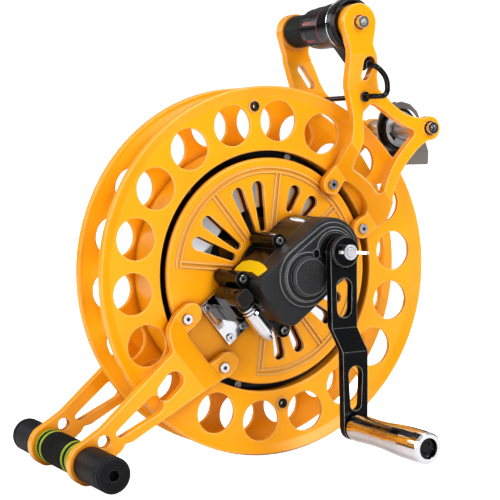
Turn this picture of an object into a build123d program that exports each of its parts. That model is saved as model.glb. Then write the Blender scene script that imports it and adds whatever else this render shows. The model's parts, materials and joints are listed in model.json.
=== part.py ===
"""Kite line winder: a 320 mm line spool in a four-armed frame, with a geared crank,
a twist-grip brake, a spring stop knob and a hanging line guide.

Millimetres. +Z up, the spool turns about Y, the crank is on the -Y side.
Everything is drawn about the centre of the spool and moved at the end so that the
origin is the middle of the footprint on the ground.
"""
import math
import os

from build123d import *

os.makedirs("parts", exist_ok=True)

# ---------------------------------------------------------------- driving sizes
running = 0.05            # radial clearance of a turning fit
seat_gap = 0.3            # space left between neighbouring curved faces

# spool
spool_r = 160.0
spool_half_width = 27.2
rim_thickness = 7.0
rim_bevel = 9.5
web_face = 22.6
web_thickness = 4.0
drum_r = 109.5
drum_wall = 4.0
bore_step = 1.0
hole_inner_margin = 8.5
hole_outer_margin = 2.5
hole_bridge = 10.0
flange_hole_phase = 5.3
hole_rounding = 1.8
drum_lip = 6.0
drum_lip_thickness = 3.0
anchor_from_rim = 7.5
anchor_from_bore = 12.5
anchor_boss_r = 5.5
anchor_hole_r = 2.5
spider_thickness = 5.0
spider_back = -4.0
spider_windows = 6
spider_window_r = 9.0
hub_r = 20.0
hub_half_length = 14.5
spider_screw_r = 2.5
ring_outer_r = 78.0
ring_inner_r = 56.0
ring_thickness = 3.0
ring_face = 15.0
ring_posts = 6
brake_wall = 4.0
brake_depth = 11.0

# hub covers
ring_gap = 6.0
cover_face = 22.0
cover_thickness = 4.0
rib_height = 1.0
rib_width = 1.6
rib_gap = 2.4
rib_ring_inset = 10.5
rib_sectors = 8
rib_phase = 83.0
plain_from = 175.0
plain_mid = 218.0
plain_to = 261.0
slot_inner_r = 38.5
slot_short_r = 59.0
slot_inset = 14.5
slot_small_end = 3.4
slot_big_end = 5.7
slot_half_angle = 7.8

# main shaft and bearings
shaft_r = 8.0
shaft_back = 27.0
shaft_front = 88.0
bearing_r = 14.0
bearing_width = 6.5
bearing_wall = 5.0
back_cap_r = 17.0
back_cap_height = 8.0

# frame arms
frame_angle = 38.0
arm_thickness = 8.0
arm_face = 47.5
pad_face = 31.0
pad_r = 8.8
finger_r = 9.4
finger_length = 6.5
standoff_r = 5.5
arm_screw_r = 2.5
arm_screw_head_r = 4.3
screw_head_height = 2.6
upper_pad_inset = 5.4
upper_pad_side = 25.4
upper_pad_shift = -4.4
upper_bend_start = 12.9
upper_bend_length = 18.0
lower_pad_inset = 10.2
lower_pad_side = 27.8
lower_pad_shift = -3.2
lower_bend_start = 6.7
lower_bend_length = 23.0

# handle across the top
handle_angle = 71.08
handle_from_rim = 65.7
handle_face = 57.5
handle_boss_r = 16.4
handle_boss_length = 10.0
handle_bolt_r = 4.0
grip_r = 14.6
grip_rings = 11
barrel_r = 18.8
barrel_wall = 2.4
barrel_front = -17.0
barrel_back = 19.5
barrel_scoops = 6
shifter_flare = 3.7

# foot bar
foot_from_rim = 21.2
foot_land = 0.5
foot_half_length = 94.8
foot_r = 14.5
foot_ring_r = 17.6
foot_tube_r = 8.0
foot_groove = 88.0
hex_across = 8.5
lug_angle = -62.0
stripe_places = (-29.0, -20.0, 28.0, 37.0)

# fork tip and line guide
tip_angle = 38.43
tip_from_rim = 37.23
tip_r = 10.7
tip_bolt_r = 4.0
guard_thickness = 1.5
guard_half_gap = 4.6
sheave_r = 18.6
sheave_half_width = 2.6
tyre_depth = 1.8

# gearbox
module_size = 1.0
crank_teeth = 44
spool_teeth = 22
gear_width = 9.0
case_half_width = 26.3
case_end_r = 27.6
case_left = 41.5
body_back = 23.4
body_front = 62.0
cover_front = 83.0
case_wall = 3.0
boss_r = 16.4
boss_face = 92.5
ear_r = 6.2
ear_spots = ((7.5, 31.0), (-38.8, 29.2), (-36.2, -30.8))
ear_screw_r = 2.0
ear_head_r = 3.4
cover_screw_u = 18.0
cover_screw_v = 9.6
end_bearing_r = 12.5

# crank
crank_shaft_r = 6.0
crank_bearing_r = 9.5
crank_length = 144.0
crank_thickness = 7.0
crank_back_face = 94.5
crank_offset = 16.0
crank_bend_start = 62.0
crank_bend_end = 80.0
crank_top_r = 13.0
crank_low_r = 11.4
knob_length = 99.0
knob_spindle_r = 4.5
knob_bore_r = 4.6

# spring stop beside the gearbox
plate_u = -58.5
plate_width = 24.5
plate_height = 44.0
plate_thickness = 3.0
stop_tilt = 3.0
stop_reach = 43.0
stop_knob_r = 7.3
stop_knob_length = 38.0
stop_travel = 4.0

# brake cable
cable_r = 2.3

cos_a = math.cos(math.radians(frame_angle))
sin_a = math.sin(math.radians(frame_angle))
centre_distance = module_size * (crank_teeth + spool_teeth) / 2

# the hub side follows the drum, the outer ends of the arms follow the rim
flange_bore_r = drum_r - drum_wall - bore_step
cover_r = flange_bore_r - ring_gap
rib_ring_r = cover_r - rib_ring_inset
slot_outer_r = rib_ring_r - slot_inset
web_outer_r = spool_r - rim_bevel
flange_hole_r = (web_outer_r - flange_bore_r - hole_inner_margin - hole_outer_margin) / 2
flange_hole_circle_r = flange_bore_r + hole_inner_margin + flange_hole_r
hole_room = 2 * flange_hole_r + hole_bridge
flange_holes = int(2 * math.pi * flange_hole_circle_r / hole_room)
upper_pad_distance = cover_r - upper_pad_inset
lower_pad_distance = cover_r - lower_pad_inset
shifter_r = barrel_r + shifter_flare
foot_x = -(spool_r + foot_from_rim)
foot_z = -(spool_r + foot_land - foot_ring_r)


def from_beam(u, v):
    """Point (x, z) for a place u along and v across the slanted frame line."""
    return (u * cos_a - v * sin_a, u * sin_a + v * cos_a)


def polar(r, angle):
    """Point at a radius and an angle in degrees."""
    return (r * math.cos(math.radians(angle)), r * math.sin(math.radians(angle)))


def off_rim(angle, distance):
    """Point at an angle and at a distance outside the spool's rim."""
    return polar(spool_r + distance, angle)


crank_x, crank_z = from_beam(centre_distance, 0.0)
handle_x, handle_z = off_rim(handle_angle, handle_from_rim)
tip_x, tip_z = off_rim(tip_angle, tip_from_rim)


def front_sketch_plane(y):
    """Plane facing the crank side at distance y: sketch x is X, sketch y is Z."""
    return Plane(origin=(0, y, 0), x_dir=(1, 0, 0), z_dir=(0, -1, 0))


def slab(sketch, y_near, y_far):
    """Push a flat outline (sketch x is X, sketch y is Z) from y_near to y_far."""
    low = min(y_near, y_far)
    high = max(y_near, y_far)
    return extrude(front_sketch_plane(high) * sketch, amount=high - low, dir=(0, -1, 0))


def rod(x, z, r, y_near, y_far):
    """Round bar along Y."""
    return slab(Pos(x, z) * Circle(r), y_near, y_far)


def tube(x, z, r_out, r_in, y_near, y_far):
    """Round sleeve along Y."""
    return slab(Pos(x, z) * Circle(r_out) - Pos(x, z) * Circle(r_in), y_near, y_far)


def turned(points, x=0.0, z=0.0):
    """Body of revolution about a line along Y; points are (radius, y)."""
    profile = Polygon(*points, align=None)
    return Pos(x, 0, z) * revolve(Plane.XY * profile, axis=Axis.Y)


def hull(*circles):
    """Outline stretched round circles given as (x, z, radius)."""
    with BuildSketch() as outline:
        for cx, cz, r in circles:
            with Locations((cx, cz)):
                Circle(r)
        make_hull()
    return outline.sketch


def chain(*stations):
    """Limb of changing width; stations are (x, z, half width)."""
    limb = hull(stations[0], stations[1])
    for here, there in zip(stations[1:], stations[2:]):
        limb = limb + hull(here, there)
    return limb


def mirrored(shape):
    """The same piece on the other side of the spool."""
    return mirror(shape, about=Plane.XZ)


def softened(outline, r):
    """Round the inner corners of a flat outline."""
    return offset(offset(outline, r, kind=Kind.ARC), -r, kind=Kind.ARC)


def joined(*shapes):
    """Pieces that are one body of material."""
    total = shapes[0]
    for shape in shapes[1:]:
        total = total + shape
    return total


pieces = {}


def keep(name, *shapes):
    """Store the solids of one piece (or of one group of equal pieces)."""
    solids = []
    for shape in shapes:
        solids.extend(shape.solids())
    pieces[name] = solids


# ---------------------------------------------------------------- spool
rim_inner = web_outer_r
web_back = web_face - web_thickness
rim_back = spool_half_width - rim_thickness
flange = turned([
    (flange_bore_r, -web_face + 1.0),
    (flange_bore_r + 1.0, -web_face),
    (rim_inner, -web_face - 0.8),
    (spool_r - 1.0, -spool_half_width),
    (spool_r, -spool_half_width + 1.0),
    (spool_r, -rim_back - 1.0),
    (spool_r - 1.0, -rim_back),
    (spool_r - 4.0, -rim_back),
    (rim_inner - 2.0, -web_back),
    (flange_bore_r, -web_back),
])
flange_hole = rod(flange_hole_circle_r, 0, flange_hole_r, -spool_half_width - 1, 0)
for number in range(flange_holes):
    turn = flange_hole_phase + number * 360.0 / flange_holes
    flange = flange - Rot(0, -turn, 0) * flange_hole
hole_edges = []
for edge in flange.edges().filter_by(GeomType.CIRCLE):
    if abs(edge.radius - flange_hole_r) < 0.01:
        hole_edges.append(edge)
flange = fillet(hole_edges, hole_rounding)
back_flange = mirrored(flange)
hole_pitch = 360.0 / flange_holes
anchor_turn = (int(90.0 / hole_pitch) + 0.5) * hole_pitch
anchor_spots = (
    (web_outer_r - anchor_from_rim, flange_hole_phase + anchor_turn),
    (flange_bore_r + anchor_from_bore, flange_hole_phase - anchor_turn),
)
for spot_r, spot_angle in anchor_spots:
    ax, az = polar(spot_r, spot_angle)
    flange = flange + rod(ax, az, anchor_boss_r, -web_face - 1.6, -web_back)
for spot_r, spot_angle in anchor_spots:
    ax, az = polar(spot_r, spot_angle)
    flange = flange - rod(ax, az, anchor_hole_r, -web_face - 3.0, -web_back + 1.0)
keep("spool_front_flange", flange)
keep("spool_back_flange", back_flange)

drum_bore = drum_r - drum_wall
lip_back = spider_back + drum_lip_thickness
drum = tube(0, 0, drum_r, drum_bore, -web_back, web_back)
drum = drum + tube(0, 0, drum_bore + 0.5, drum_bore - drum_lip, spider_back, lip_back)
keep("spool_drum", drum)

spider_front = spider_back - spider_thickness
spider_r = drum_bore - seat_gap
spider = tube(0, 0, spider_r, shaft_r + running, spider_front, spider_back)
spider = spider + tube(0, 0, hub_r, shaft_r + running, -hub_half_length, hub_half_length)
window_r = (hub_r + ring_inner_r) / 2
for number in range(spider_windows):
    wx, wz = polar(window_r, (number + 0.5) * 360.0 / spider_windows)
    spider = spider - rod(wx, wz, spider_window_r, spider_front - 1, spider_back + 1)
post_r = (ring_outer_r + ring_inner_r) / 2
ring_back = -ring_face + ring_thickness
for number in range(ring_posts):
    px, pz = polar(post_r, number * 360.0 / ring_posts)
    spider = spider + rod(px, pz, 4.0, ring_back, spider_front)
keep("spool_spider", spider)

screw_circle_r = drum_bore - drum_lip / 2 - 0.5
spider_screws = []
for number in range(spider_windows):
    sx, sz = polar(screw_circle_r, number * 360.0 / spider_windows + 15.0)
    screw_hole = rod(sx, sz, spider_screw_r + running, spider_front - 1, lip_back + 1)
    spider = spider - screw_hole
    drum = drum - screw_hole
    shank = rod(sx, sz, spider_screw_r, spider_front, lip_back)
    head = rod(sx, sz, spider_screw_r * 1.3, spider_front - 2.0, spider_front)
    spider_screws.append(shank + head)
keep("spool_drum", drum)
keep("spool_spider", spider)
keep("spider_screws", *spider_screws)

keep("polished_ring", tube(0, 0, ring_outer_r, ring_inner_r, -ring_face, ring_back))

brake_cup = tube(0, 0, ring_outer_r, ring_outer_r - 16.0, spider_back, spider_back + 3.0)
brake_cup = brake_cup + tube(0, 0, ring_outer_r, ring_outer_r - brake_wall, spider_back, brake_depth)
keep("brake_drum", brake_cup)

shaft = rod(0, 0, shaft_r, -shaft_front, shaft_back)
keep("spool_shaft", shaft)

# ---------------------------------------------------------------- hub covers
def slot_outline(angle, inner_r):
    """Vent slot that widens outward."""
    ix, iz = polar(inner_r, angle)
    ox, oz = polar(slot_outer_r, angle)
    return hull((ix, iz, slot_small_end), (ox, oz, slot_big_end))


slot_sectors = (
    (rib_phase + 22.5, slot_inner_r),
    (rib_phase + 67.5, slot_inner_r),
    (rib_phase - 22.5, slot_short_r - 1.0),
    (rib_phase - 157.5, slot_inner_r),
    (rib_phase - 112.5, slot_inner_r),
)


def hub_cover():
    """Round cover with radial double ribs, a double ring and vent slots."""
    back = -cover_face + cover_thickness
    disc = turned([
        (bearing_r, -cover_face),
        (cover_r - 1.5, -cover_face),
        (cover_r, -cover_face + 1.5),
        (cover_r, back),
        (bearing_r, back),
    ])
    collar_back = -cover_face + bearing_width
    disc = disc + tube(0, 0, bearing_r + bearing_wall, bearing_r, -cover_face, collar_back)
    top = -cover_face - rib_height
    foot = -cover_face + 0.5
    half = rib_gap / 2 + rib_width / 2
    plain = Polygon((0, 0), polar(140, plain_from), polar(200, plain_mid), polar(140, plain_to), align=None)
    for ring_r in (rib_ring_r - half, rib_ring_r + half):
        ring = Circle(ring_r + rib_width / 2) - Circle(ring_r - rib_width / 2) - plain
        disc = disc + slab(ring, top, foot)
    rib_length = rib_ring_r - half - 36.0
    for number in range(rib_sectors):
        angle = rib_phase + number * 360.0 / rib_sectors
        if plain_from < angle % 360.0 < plain_to:
            continue
        for side in (-half, half):
            strip = Pos(36.0 + rib_length / 2, side) * Rectangle(rib_length, rib_width)
            disc = disc + slab(Rot(0, 0, angle) * strip, top, foot)
    for middle, inner_r in slot_sectors:
        for side in (-slot_half_angle, slot_half_angle):
            outline = slot_outline(middle + side, inner_r)
            disc = disc - slab(outline, -cover_face - 3, back + 1)
    return disc


pad_spots = []
for side in (upper_pad_side, -upper_pad_side):
    pad_spots.append(from_beam(upper_pad_distance, upper_pad_shift + side))
for side in (lower_pad_side, -lower_pad_side):
    pad_spots.append(from_beam(-lower_pad_distance, lower_pad_shift + side))

cover = hub_cover()
pad_top = -pad_face + arm_thickness
for sx, sz in pad_spots:
    cover = cover + rod(sx, sz, standoff_r, pad_top, -cover_face + 0.5)
screw_end = -cover_face + cover_thickness
for sx, sz in pad_spots:
    cover = cover - rod(sx, sz, arm_screw_r + running, -cover_face - 3, screw_end + 1)
back_cover = mirrored(cover)

# ---------------------------------------------------------------- frame arms
def bent_band(start, end, y_base, y_out, direction):
    """Plate of even thickness that steps outward between two distances on the beam."""
    far = 2 * spool_r
    near = 40.0
    t = arm_thickness
    points = [
        (direction * near, -y_base),
        (direction * start, -y_base),
        (direction * end, -y_out),
        (direction * far, -y_out),
        (direction * far, -y_out + t),
        (direction * end, -y_out + t),
        (direction * start, -y_base + t),
        (direction * near, -y_base + t),
    ]
    band = extrude(Plane.XY * Polygon(*points, align=None), amount=300.0, both=True)
    return Rot(0, -frame_angle, 0) * band


handle_pivot = (handle_x, handle_z)
upper_pad_a, upper_pad_b, lower_pad_a, lower_pad_b = pad_spots


def circle_at(spot, r):
    """Circle given as (x, z, radius) for a hull."""
    return (spot[0], spot[1], r)


def rim_stations(*stations):
    """Stations given as (angle, distance from the rim, half width)."""
    return [circle_at(off_rim(angle, distance), r) for angle, distance, r in stations]


def hub_stations(base, *stations):
    """Stations given as (distance beyond the pads, place across the beam, half width)."""
    return [circle_at(from_beam(base + out, across), r) for out, across, r in stations]


upright = chain(circle_at(handle_pivot, handle_boss_r), *rim_stations(
    (69.77, 53.7, 13.3),
    (69.17, 49.2, 12.1),
    (68.20, 43.6, 12.5),
    (67.43, 39.8, 13.2),
    (66.28, 34.4, 14.1),
    (64.96, 27.6, 14.7),
    (63.88, 22.6, 14.9),
    (62.31, 17.3, 15.3),
))
strut = rim_stations(
    (62.31, 17.3, 15.0),
    (61.13, -0.1, 6.1),
    (59.87, -6.2, 4.9),
    (58.03, -13.8, 5.1),
    (56.70, -18.8, 5.5),
    (55.43, -25.2, 5.6),
    (54.71, -32.6, 5.2),
    (53.44, -38.6, 5.1),
)
leg_a = hub_stations(
    upper_pad_distance,
    (19.6, 28.2, 5.6),
    (15.4, 25.0, 6.6),
    (8.4, 23.2, 7.9),
)
fork = chain(*strut, *leg_a, circle_at(upper_pad_a, pad_r))
upper_tine = rim_stations(
    (62.31, 17.3, 15.0),
    (58.40, 18.5, 7.2),
    (55.17, 19.1, 5.8),
    (51.84, 18.8, 5.0),
    (48.70, 19.6, 4.9),
    (45.18, 22.6, 5.1),
    (41.94, 28.2, 6.3),
    (39.80, 32.6, 8.0),
)
fork = fork + chain(*upper_tine, (tip_x, tip_z, tip_r - 2.0))
lower_tine = rim_stations(
    (38.64, 28.2, 7.6),
    (38.36, 19.8, 6.0),
    (38.25, 14.6, 5.5),
    (37.83, 4.3, 5.4),
    (37.09, -5.9, 5.4),
    (35.95, -14.9, 5.2),
    (34.13, -23.1, 5.1),
    (32.09, -30.5, 5.0),
)
leg_b = hub_stations(
    upper_pad_distance,
    (28.9, -19.5, 5.2),
    (23.4, -25.5, 6.0),
    (17.4, -30.0, 7.8),
    (9.4, -31.0, 8.3),
)
fork = fork + chain((tip_x, tip_z, tip_r - 2.0), *lower_tine, *leg_b, circle_at(upper_pad_b, pad_r))
base_band = hub_stations(
    upper_pad_distance,
    (15.4, 23.0, 5.2),
    (19.6, 10.3, 4.6),
    (21.6, -1.0, 4.5),
    (21.2, -13.5, 4.6),
    (19.4, -22.0, 5.5),
    (16.4, -28.0, 7.5),
)
fork = fork + chain(*base_band)
fork = fork + Pos(tip_x, tip_z) * Circle(tip_r)
fork = softened(fork, 3.0)

upper_bend = upper_pad_distance + upper_bend_start
upper_band = bent_band(upper_bend, upper_bend + upper_bend_length, pad_face, arm_face, 1)
plate = slab(fork, -80.0, 0.0) & upper_band
rise_start = spool_r - 3.0
rise_end = spool_r + 26.0
rise = extrude(
    Plane.YZ * Polygon(
        (-arm_face, rise_start - 37.0),
        (-arm_face, rise_start),
        (-handle_face, rise_end),
        (-handle_face, rise_end + 74.0),
        (-handle_face + arm_thickness, rise_end + 74.0),
        (-handle_face + arm_thickness, rise_end),
        (-arm_face + arm_thickness, rise_start),
        (-arm_face + arm_thickness, rise_start - 37.0),
        align=None,
    ),
    amount=300.0,
    both=True,
)
above = Pos(0, 0, rise_start + 150.0) * Box(600, 200, 300)
low_part = plate - above
high_part = (slab(upright + fork, -80.0, 0.0) & rise) & above
boss = rod(handle_x, handle_z, handle_boss_r, -handle_face, -handle_face + handle_boss_length)
upper_arm = low_part + high_part + boss
upper_arm = upper_arm - rod(handle_x, handle_z, handle_bolt_r + running, -80, 0)
upper_arm = upper_arm - rod(handle_x, handle_z, 6.2, -handle_face - 1, -handle_face + 1.2)
upper_arm = upper_arm - rod(tip_x, tip_z, tip_bolt_r + running, -80, 0)
upper_arm = upper_arm - rod(tip_x, tip_z, 6.4, -arm_face - 1, -arm_face + 1.2)
for sx, sz in (upper_pad_a, upper_pad_b):
    upper_arm = upper_arm - rod(sx, sz, arm_screw_r + running, -80, 0)

cable_window = hull(*rim_stations((64.89, 37.9, 5.6), (63.89, 27.7, 4.2)))
cable_hole = off_rim(60.7, 12.24)
near_upper_arm = upper_arm - slab(cable_window, -80, 0)
near_upper_arm = near_upper_arm - rod(cable_hole[0], cable_hole[1], 3.4, -80, 0)
far_window = hull(*rim_stations((66.5, 34.7, 4.2), (62.9, 25.4, 4.2)))
far_upper_arm = mirrored(upper_arm - slab(far_window, -80, 0))
keep("near_upper_arm", near_upper_arm)
keep("far_upper_arm", far_upper_arm)

foot = (foot_x, foot_z)
lift = (foot_x - 5.5, foot_z + 5.8)
foot_reach = foot_x * cos_a + foot_z * sin_a
foot_across = foot_z * cos_a - foot_x * sin_a


def finger(pad, shift):
    """Round-ended finger that carries one screw and points at the hub."""
    end = (pad[0] + finger_length * cos_a, pad[1] + finger_length * sin_a)
    root = (pad[0] - 17.0 * cos_a - shift * sin_a, pad[1] - 17.0 * sin_a + shift * cos_a)
    return hull(circle_at(end, finger_r - 0.3), circle_at(pad, finger_r)) + hull(
        circle_at(pad, finger_r), circle_at(root, finger_r - 1.8)
    )


shoulder = hull(*hub_stations(
    -lower_pad_distance,
    (-16.0, 25.3, 7.4),
    (-19.2, 23.6, 7.6),
    (-17.7, -22.5, 9.0),
    (-29.7, -18.2, 8.0),
    (-27.7, 9.0, 8.0),
))
leg = hull(*hub_stations(
    -lower_pad_distance,
    (-32.7, 8.0, 10.0),
    (-29.7, -18.2, 8.0),
), *hub_stations(
    foot_reach,
    (26.0, foot_across + 5.5, 9.0),
    (41.0, foot_across - 3.5, 9.0),
))
shin = hull(*hub_stations(
    foot_reach,
    (26.0, foot_across + 5.5, 9.0),
    (26.0, foot_across - 2.0, 9.0),
), circle_at(foot, 9.6), circle_at(lift, 9.7))
lower = shoulder + leg + shin
lower = lower + finger(lower_pad_a, 0.6) + finger(lower_pad_b, 6.0)
lower = lower + Pos(foot_x, foot_z) * Circle(foot_ring_r)
lower = softened(lower, 4.0)
lower = lower - hull(*hub_stations(foot_reach, (34.6, foot_across + 0.8, 3.4), (71.0, foot_across - 2.9, 8.2)))
lower = lower - hull(*hub_stations(-lower_pad_distance, (-45.7, -0.8, 8.4), (-56.7, -2.0, 7.6)))
lower = lower - Pos(foot_x + 12.6, foot_z + 16.7) * Circle(5.3)
below_ground = Pos(foot_x, -spool_r - 20.0) * Rectangle(80.0, 40.0)
lower = lower - below_ground
lower_bend = lower_pad_distance + lower_bend_start
lower_band = bent_band(lower_bend, lower_bend + lower_bend_length, pad_face, arm_face, -1)
lower_arm = slab(lower, -80.0, 0.0) & lower_band
lower_arm = lower_arm - rod(foot_x, foot_z, foot_tube_r + running, -80, 0)
lug_spot = polar(foot_ring_r - 2.1, lug_angle)
lug_x = foot_x + lug_spot[0]
lug_z = foot_z + lug_spot[1]
lower_arm = lower_arm + rod(lug_x, lug_z, 3.0, -arm_face + 1.0, -arm_face + arm_thickness - 1.0)
for sx, sz in (lower_pad_a, lower_pad_b):
    lower_arm = lower_arm - rod(sx, sz, arm_screw_r + running, -80, 0)
keep("near_lower_arm", lower_arm)
keep("far_lower_arm", mirrored(lower_arm))

arm_screws = []
for sx, sz in pad_spots:
    head = rod(sx, sz, arm_screw_head_r, -pad_face - screw_head_height, -pad_face)
    head = head - slab(Pos(sx, sz) * RegularPolygon(1.7, 6), -pad_face - screw_head_height, -pad_face - 0.8)
    screw = head + rod(sx, sz, arm_screw_r, -pad_face, screw_end - 1.0)
    arm_screws.append(screw)
    arm_screws.append(mirrored(screw))
keep("arm_screws", *arm_screws)


# ---------------------------------------------------------------- handle
tube_r = 11.1
inner_face = handle_face - handle_boss_length
keep("handle_tube", tube(handle_x, handle_z, tube_r, handle_bolt_r + 0.4, -inner_face, inner_face))

bolt_head_height = 7.0
bolt_end = handle_face + 7.0
handle_bolt = rod(handle_x, handle_z, handle_bolt_r, -handle_face - 1.0, bolt_end)
handle_head = rod(handle_x, handle_z, 5.2, -handle_face - bolt_head_height + 1.2, -handle_face + 1.2)
handle_head = handle_head - slab(
    Pos(handle_x, handle_z) * RegularPolygon(2.9, 6),
    -handle_face - bolt_head_height,
    -handle_face - 2.0,
)
keep("handle_bolt", handle_bolt + handle_head)
handle_nut = slab(Pos(handle_x, handle_z) * RegularPolygon(6.0, 6), handle_face - 1.2, handle_face + 4.6)
handle_nut = handle_nut - rod(handle_x, handle_z, handle_bolt_r, handle_face - 2, handle_face + 6)

grip_profile = [(tube_r, inner_face - 0.2), (tube_r, barrel_back + 0.5)]
ring_pitch = (inner_face - barrel_back - 3.0) / grip_rings
grip_profile.append((grip_r - 0.8, barrel_back + 0.5))
for number in range(grip_rings):
    start = barrel_back + 1.6 + number * ring_pitch
    grip_profile.append((grip_r - 0.8, start))
    grip_profile.append((grip_r, start + 0.3 * ring_pitch))
    grip_profile.append((grip_r, start + 0.7 * ring_pitch))
    grip_profile.append((grip_r - 0.8, start + ring_pitch))
grip_profile.append((grip_r - 0.8, inner_face - 0.2))
keep("handle_grip", turned(grip_profile, handle_x, handle_z))

liner_r = barrel_r - barrel_wall
barrel_bore = tube_r + running + 0.03
liner = turned([
    (barrel_bore, barrel_back - 4.0),
    (liner_r, barrel_back - 4.0),
    (liner_r, barrel_front + 1.4),
    (barrel_r + 0.5, barrel_front + 1.4),
    (barrel_r + 0.5, barrel_front),
    (barrel_bore, barrel_front),
], handle_x, handle_z)
barrel = turned([
    (barrel_bore, barrel_back),
    (grip_r + 0.3, barrel_back),
    (grip_r + 1.4, barrel_back - 1.5),
    (barrel_r - 1.0, barrel_back - 7.0),
    (barrel_r, barrel_back - 14.0),
    (barrel_r, barrel_front + 1.4),
    (liner_r, barrel_front + 1.4),
    (liner_r, barrel_back - 4.0),
    (barrel_bore, barrel_back - 4.0),
], handle_x, handle_z)
scoop_r = 4.2
scoop_y = 4.0
scoop_half = 6.5
scoop_out = barrel_r + 1.4
scoop = Pos(0, scoop_y, scoop_out) * Rot(90, 0, 0) * Cylinder(scoop_r, 2 * scoop_half)
scoop = scoop + Pos(0, scoop_y - scoop_half, scoop_out) * Sphere(scoop_r)
scoop = scoop + Pos(0, scoop_y + scoop_half, scoop_out) * Sphere(scoop_r)
for number in range(barrel_scoops):
    turn = 42.0 + number * 360.0 / barrel_scoops
    barrel = barrel - Pos(handle_x, 0, handle_z) * Rot(0, turn, 0) * scoop
keep("barrel_liner", liner)
keep("twist_barrel", barrel)

shifter_back = barrel_front - 0.5
nose_spot = (handle_x + 11.3, handle_z - 32.5)
nose_front = -43.0
nose_back = -30.0
shifter = turned([
    (tube_r, shifter_back),
    (barrel_r + 0.9, shifter_back),
    (barrel_r + 1.8, shifter_back - 11.0),
    (shifter_r, shifter_back - 20.0),
    (shifter_r, -inner_face + 3.0),
    (shifter_r - 2.5, -inner_face + 0.3),
    (tube_r, -inner_face + 0.3),
], handle_x, handle_z)
nose = hull((handle_x, handle_z, shifter_r - 2.0), (nose_spot[0], nose_spot[1], 8.0))
nose = slab(nose, nose_front, nose_back)
nose = nose - rod(handle_x, handle_z, tube_r + 2.0, nose_front - 1, nose_back + 1)
shifter = shifter + nose
trim_y = -39.0
shifter = shifter - tube(handle_x, handle_z, shifter_r + 3, shifter_r - 0.6, trim_y, trim_y + 1.2)
keep("shifter_trim", tube(handle_x, handle_z, shifter_r + 0.5, shifter_r - 0.6, trim_y, trim_y + 1.2))

cable_out = (handle_x + 12.3, handle_z - 35.5)
loop_y = -61.5
ferrule_front = -53.2
ferrule_r = 3.4
ferrule = tube(cable_out[0], cable_out[1], ferrule_r, cable_r, ferrule_front, nose_front)
shifter = shifter - rod(cable_out[0], cable_out[1], cable_r, nose_front - 1, nose_front + 3.0)
keep("shifter_body", shifter)

# ---------------------------------------------------------------- brake cable
cross_y = spool_half_width + 6.3
entry = from_beam(cover_r - 18.5, 42.0)
pull_y = 14.5
pull_angle = math.degrees(math.atan2(entry[1], entry[0]))
lining_gap = 1.0
lining_r = ring_outer_r - brake_wall - lining_gap
lining_thickness = 3.5
shoe_r = lining_r - lining_thickness
pull_end = polar(shoe_r - 1.5, pull_angle)
cable_points = [
    (cable_out[0], nose_front + 3.0, cable_out[1]),
    (cable_out[0], loop_y, cable_out[1]),
    (cable_out[0] + 13.0, loop_y, cable_out[1] - 12.0),
    (cable_out[0] + 13.0, loop_y, cable_hole[1]),
    (cable_hole[0], loop_y, cable_hole[1]),
    (cable_hole[0], cross_y, cable_hole[1]),
    (entry[0], cross_y, entry[1]),
    (entry[0], cover_face - 2.0, entry[1]),
]


def corner_radii(points, most=40.0, share=0.45):
    """Largest arc at each corner that leaves part of the shorter run straight."""
    radii = []
    for before, here, after in zip(points, points[1:], points[2:]):
        run_in = Vector(*here) - Vector(*before)
        run_out = Vector(*after) - Vector(*here)
        half_turn = math.radians(run_in.get_angle(run_out)) / 2
        radii.append(min(most, share * min(run_in.length, run_out.length) / math.tan(half_turn)))
    return radii


def swept_cord(points, r, most=40.0):
    """Round cord along straight runs joined by tangent arcs."""
    path = FilletPolyline(*points, radius=corner_radii(points, most))
    start = Plane(origin=path @ 0, z_dir=path % 0)
    return sweep(start * Circle(r), path=path)


rim_clear_arc = 16.0
cable = swept_cord(cable_points, cable_r, rim_clear_arc)
wire_points = [
    (entry[0], cover_face - 1.5, entry[1]),
    (entry[0], pull_y, entry[1]),
    (pull_end[0], pull_y, pull_end[1]),
]
wire = swept_cord(wire_points, 0.9)
wire_end = Pos(pull_end[0], pull_y, pull_end[1]) * Sphere(2.0)
keep("brake_cable", cable + wire + wire_end)
print("cable arcs", [round(r, 1) for r in corner_radii(cable_points, rim_clear_arc)])

grommets = []
grommet_flange = 1.6
grommets.append(
    tube(cable_hole[0], cable_hole[1], 4.6, cable_r, -arm_face - grommet_flange, -arm_face)
    + tube(cable_hole[0], cable_hole[1], 3.4, cable_r, -arm_face, -arm_face + arm_thickness)
)
back_cover = back_cover - rod(entry[0], entry[1], 3.4, 0, cover_face + 3)
back_cover = back_cover - rod(entry[0], entry[1], 5.0, cover_face, cover_face + 3)
grommets.append(
    tube(entry[0], entry[1], 4.6, cable_r, cover_face, cover_face + grommet_flange)
    + tube(entry[0], entry[1], 3.4, cable_r, cover_face - 2.0, cover_face)
)
keep("cable_fittings", ferrule, *grommets)

# ---------------------------------------------------------------- brake shoe
pull_slack = 1.5
shoe_depth = 7.0
pivot_angle = pull_angle + 150.0
pivot = polar(shoe_r - 11.5, pivot_angle)
shoe_back = 3.5
shoe_front = shoe_back + shoe_depth


def arc_band(r_out, r_in, start, end):
    """Flat ring piece between two angles."""
    middle = (start + end) / 2
    wedge = Polygon((0, 0), polar(200, start), polar(260, middle), polar(200, end), align=None)
    return (Circle(r_out) - Circle(r_in)) & wedge


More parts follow.
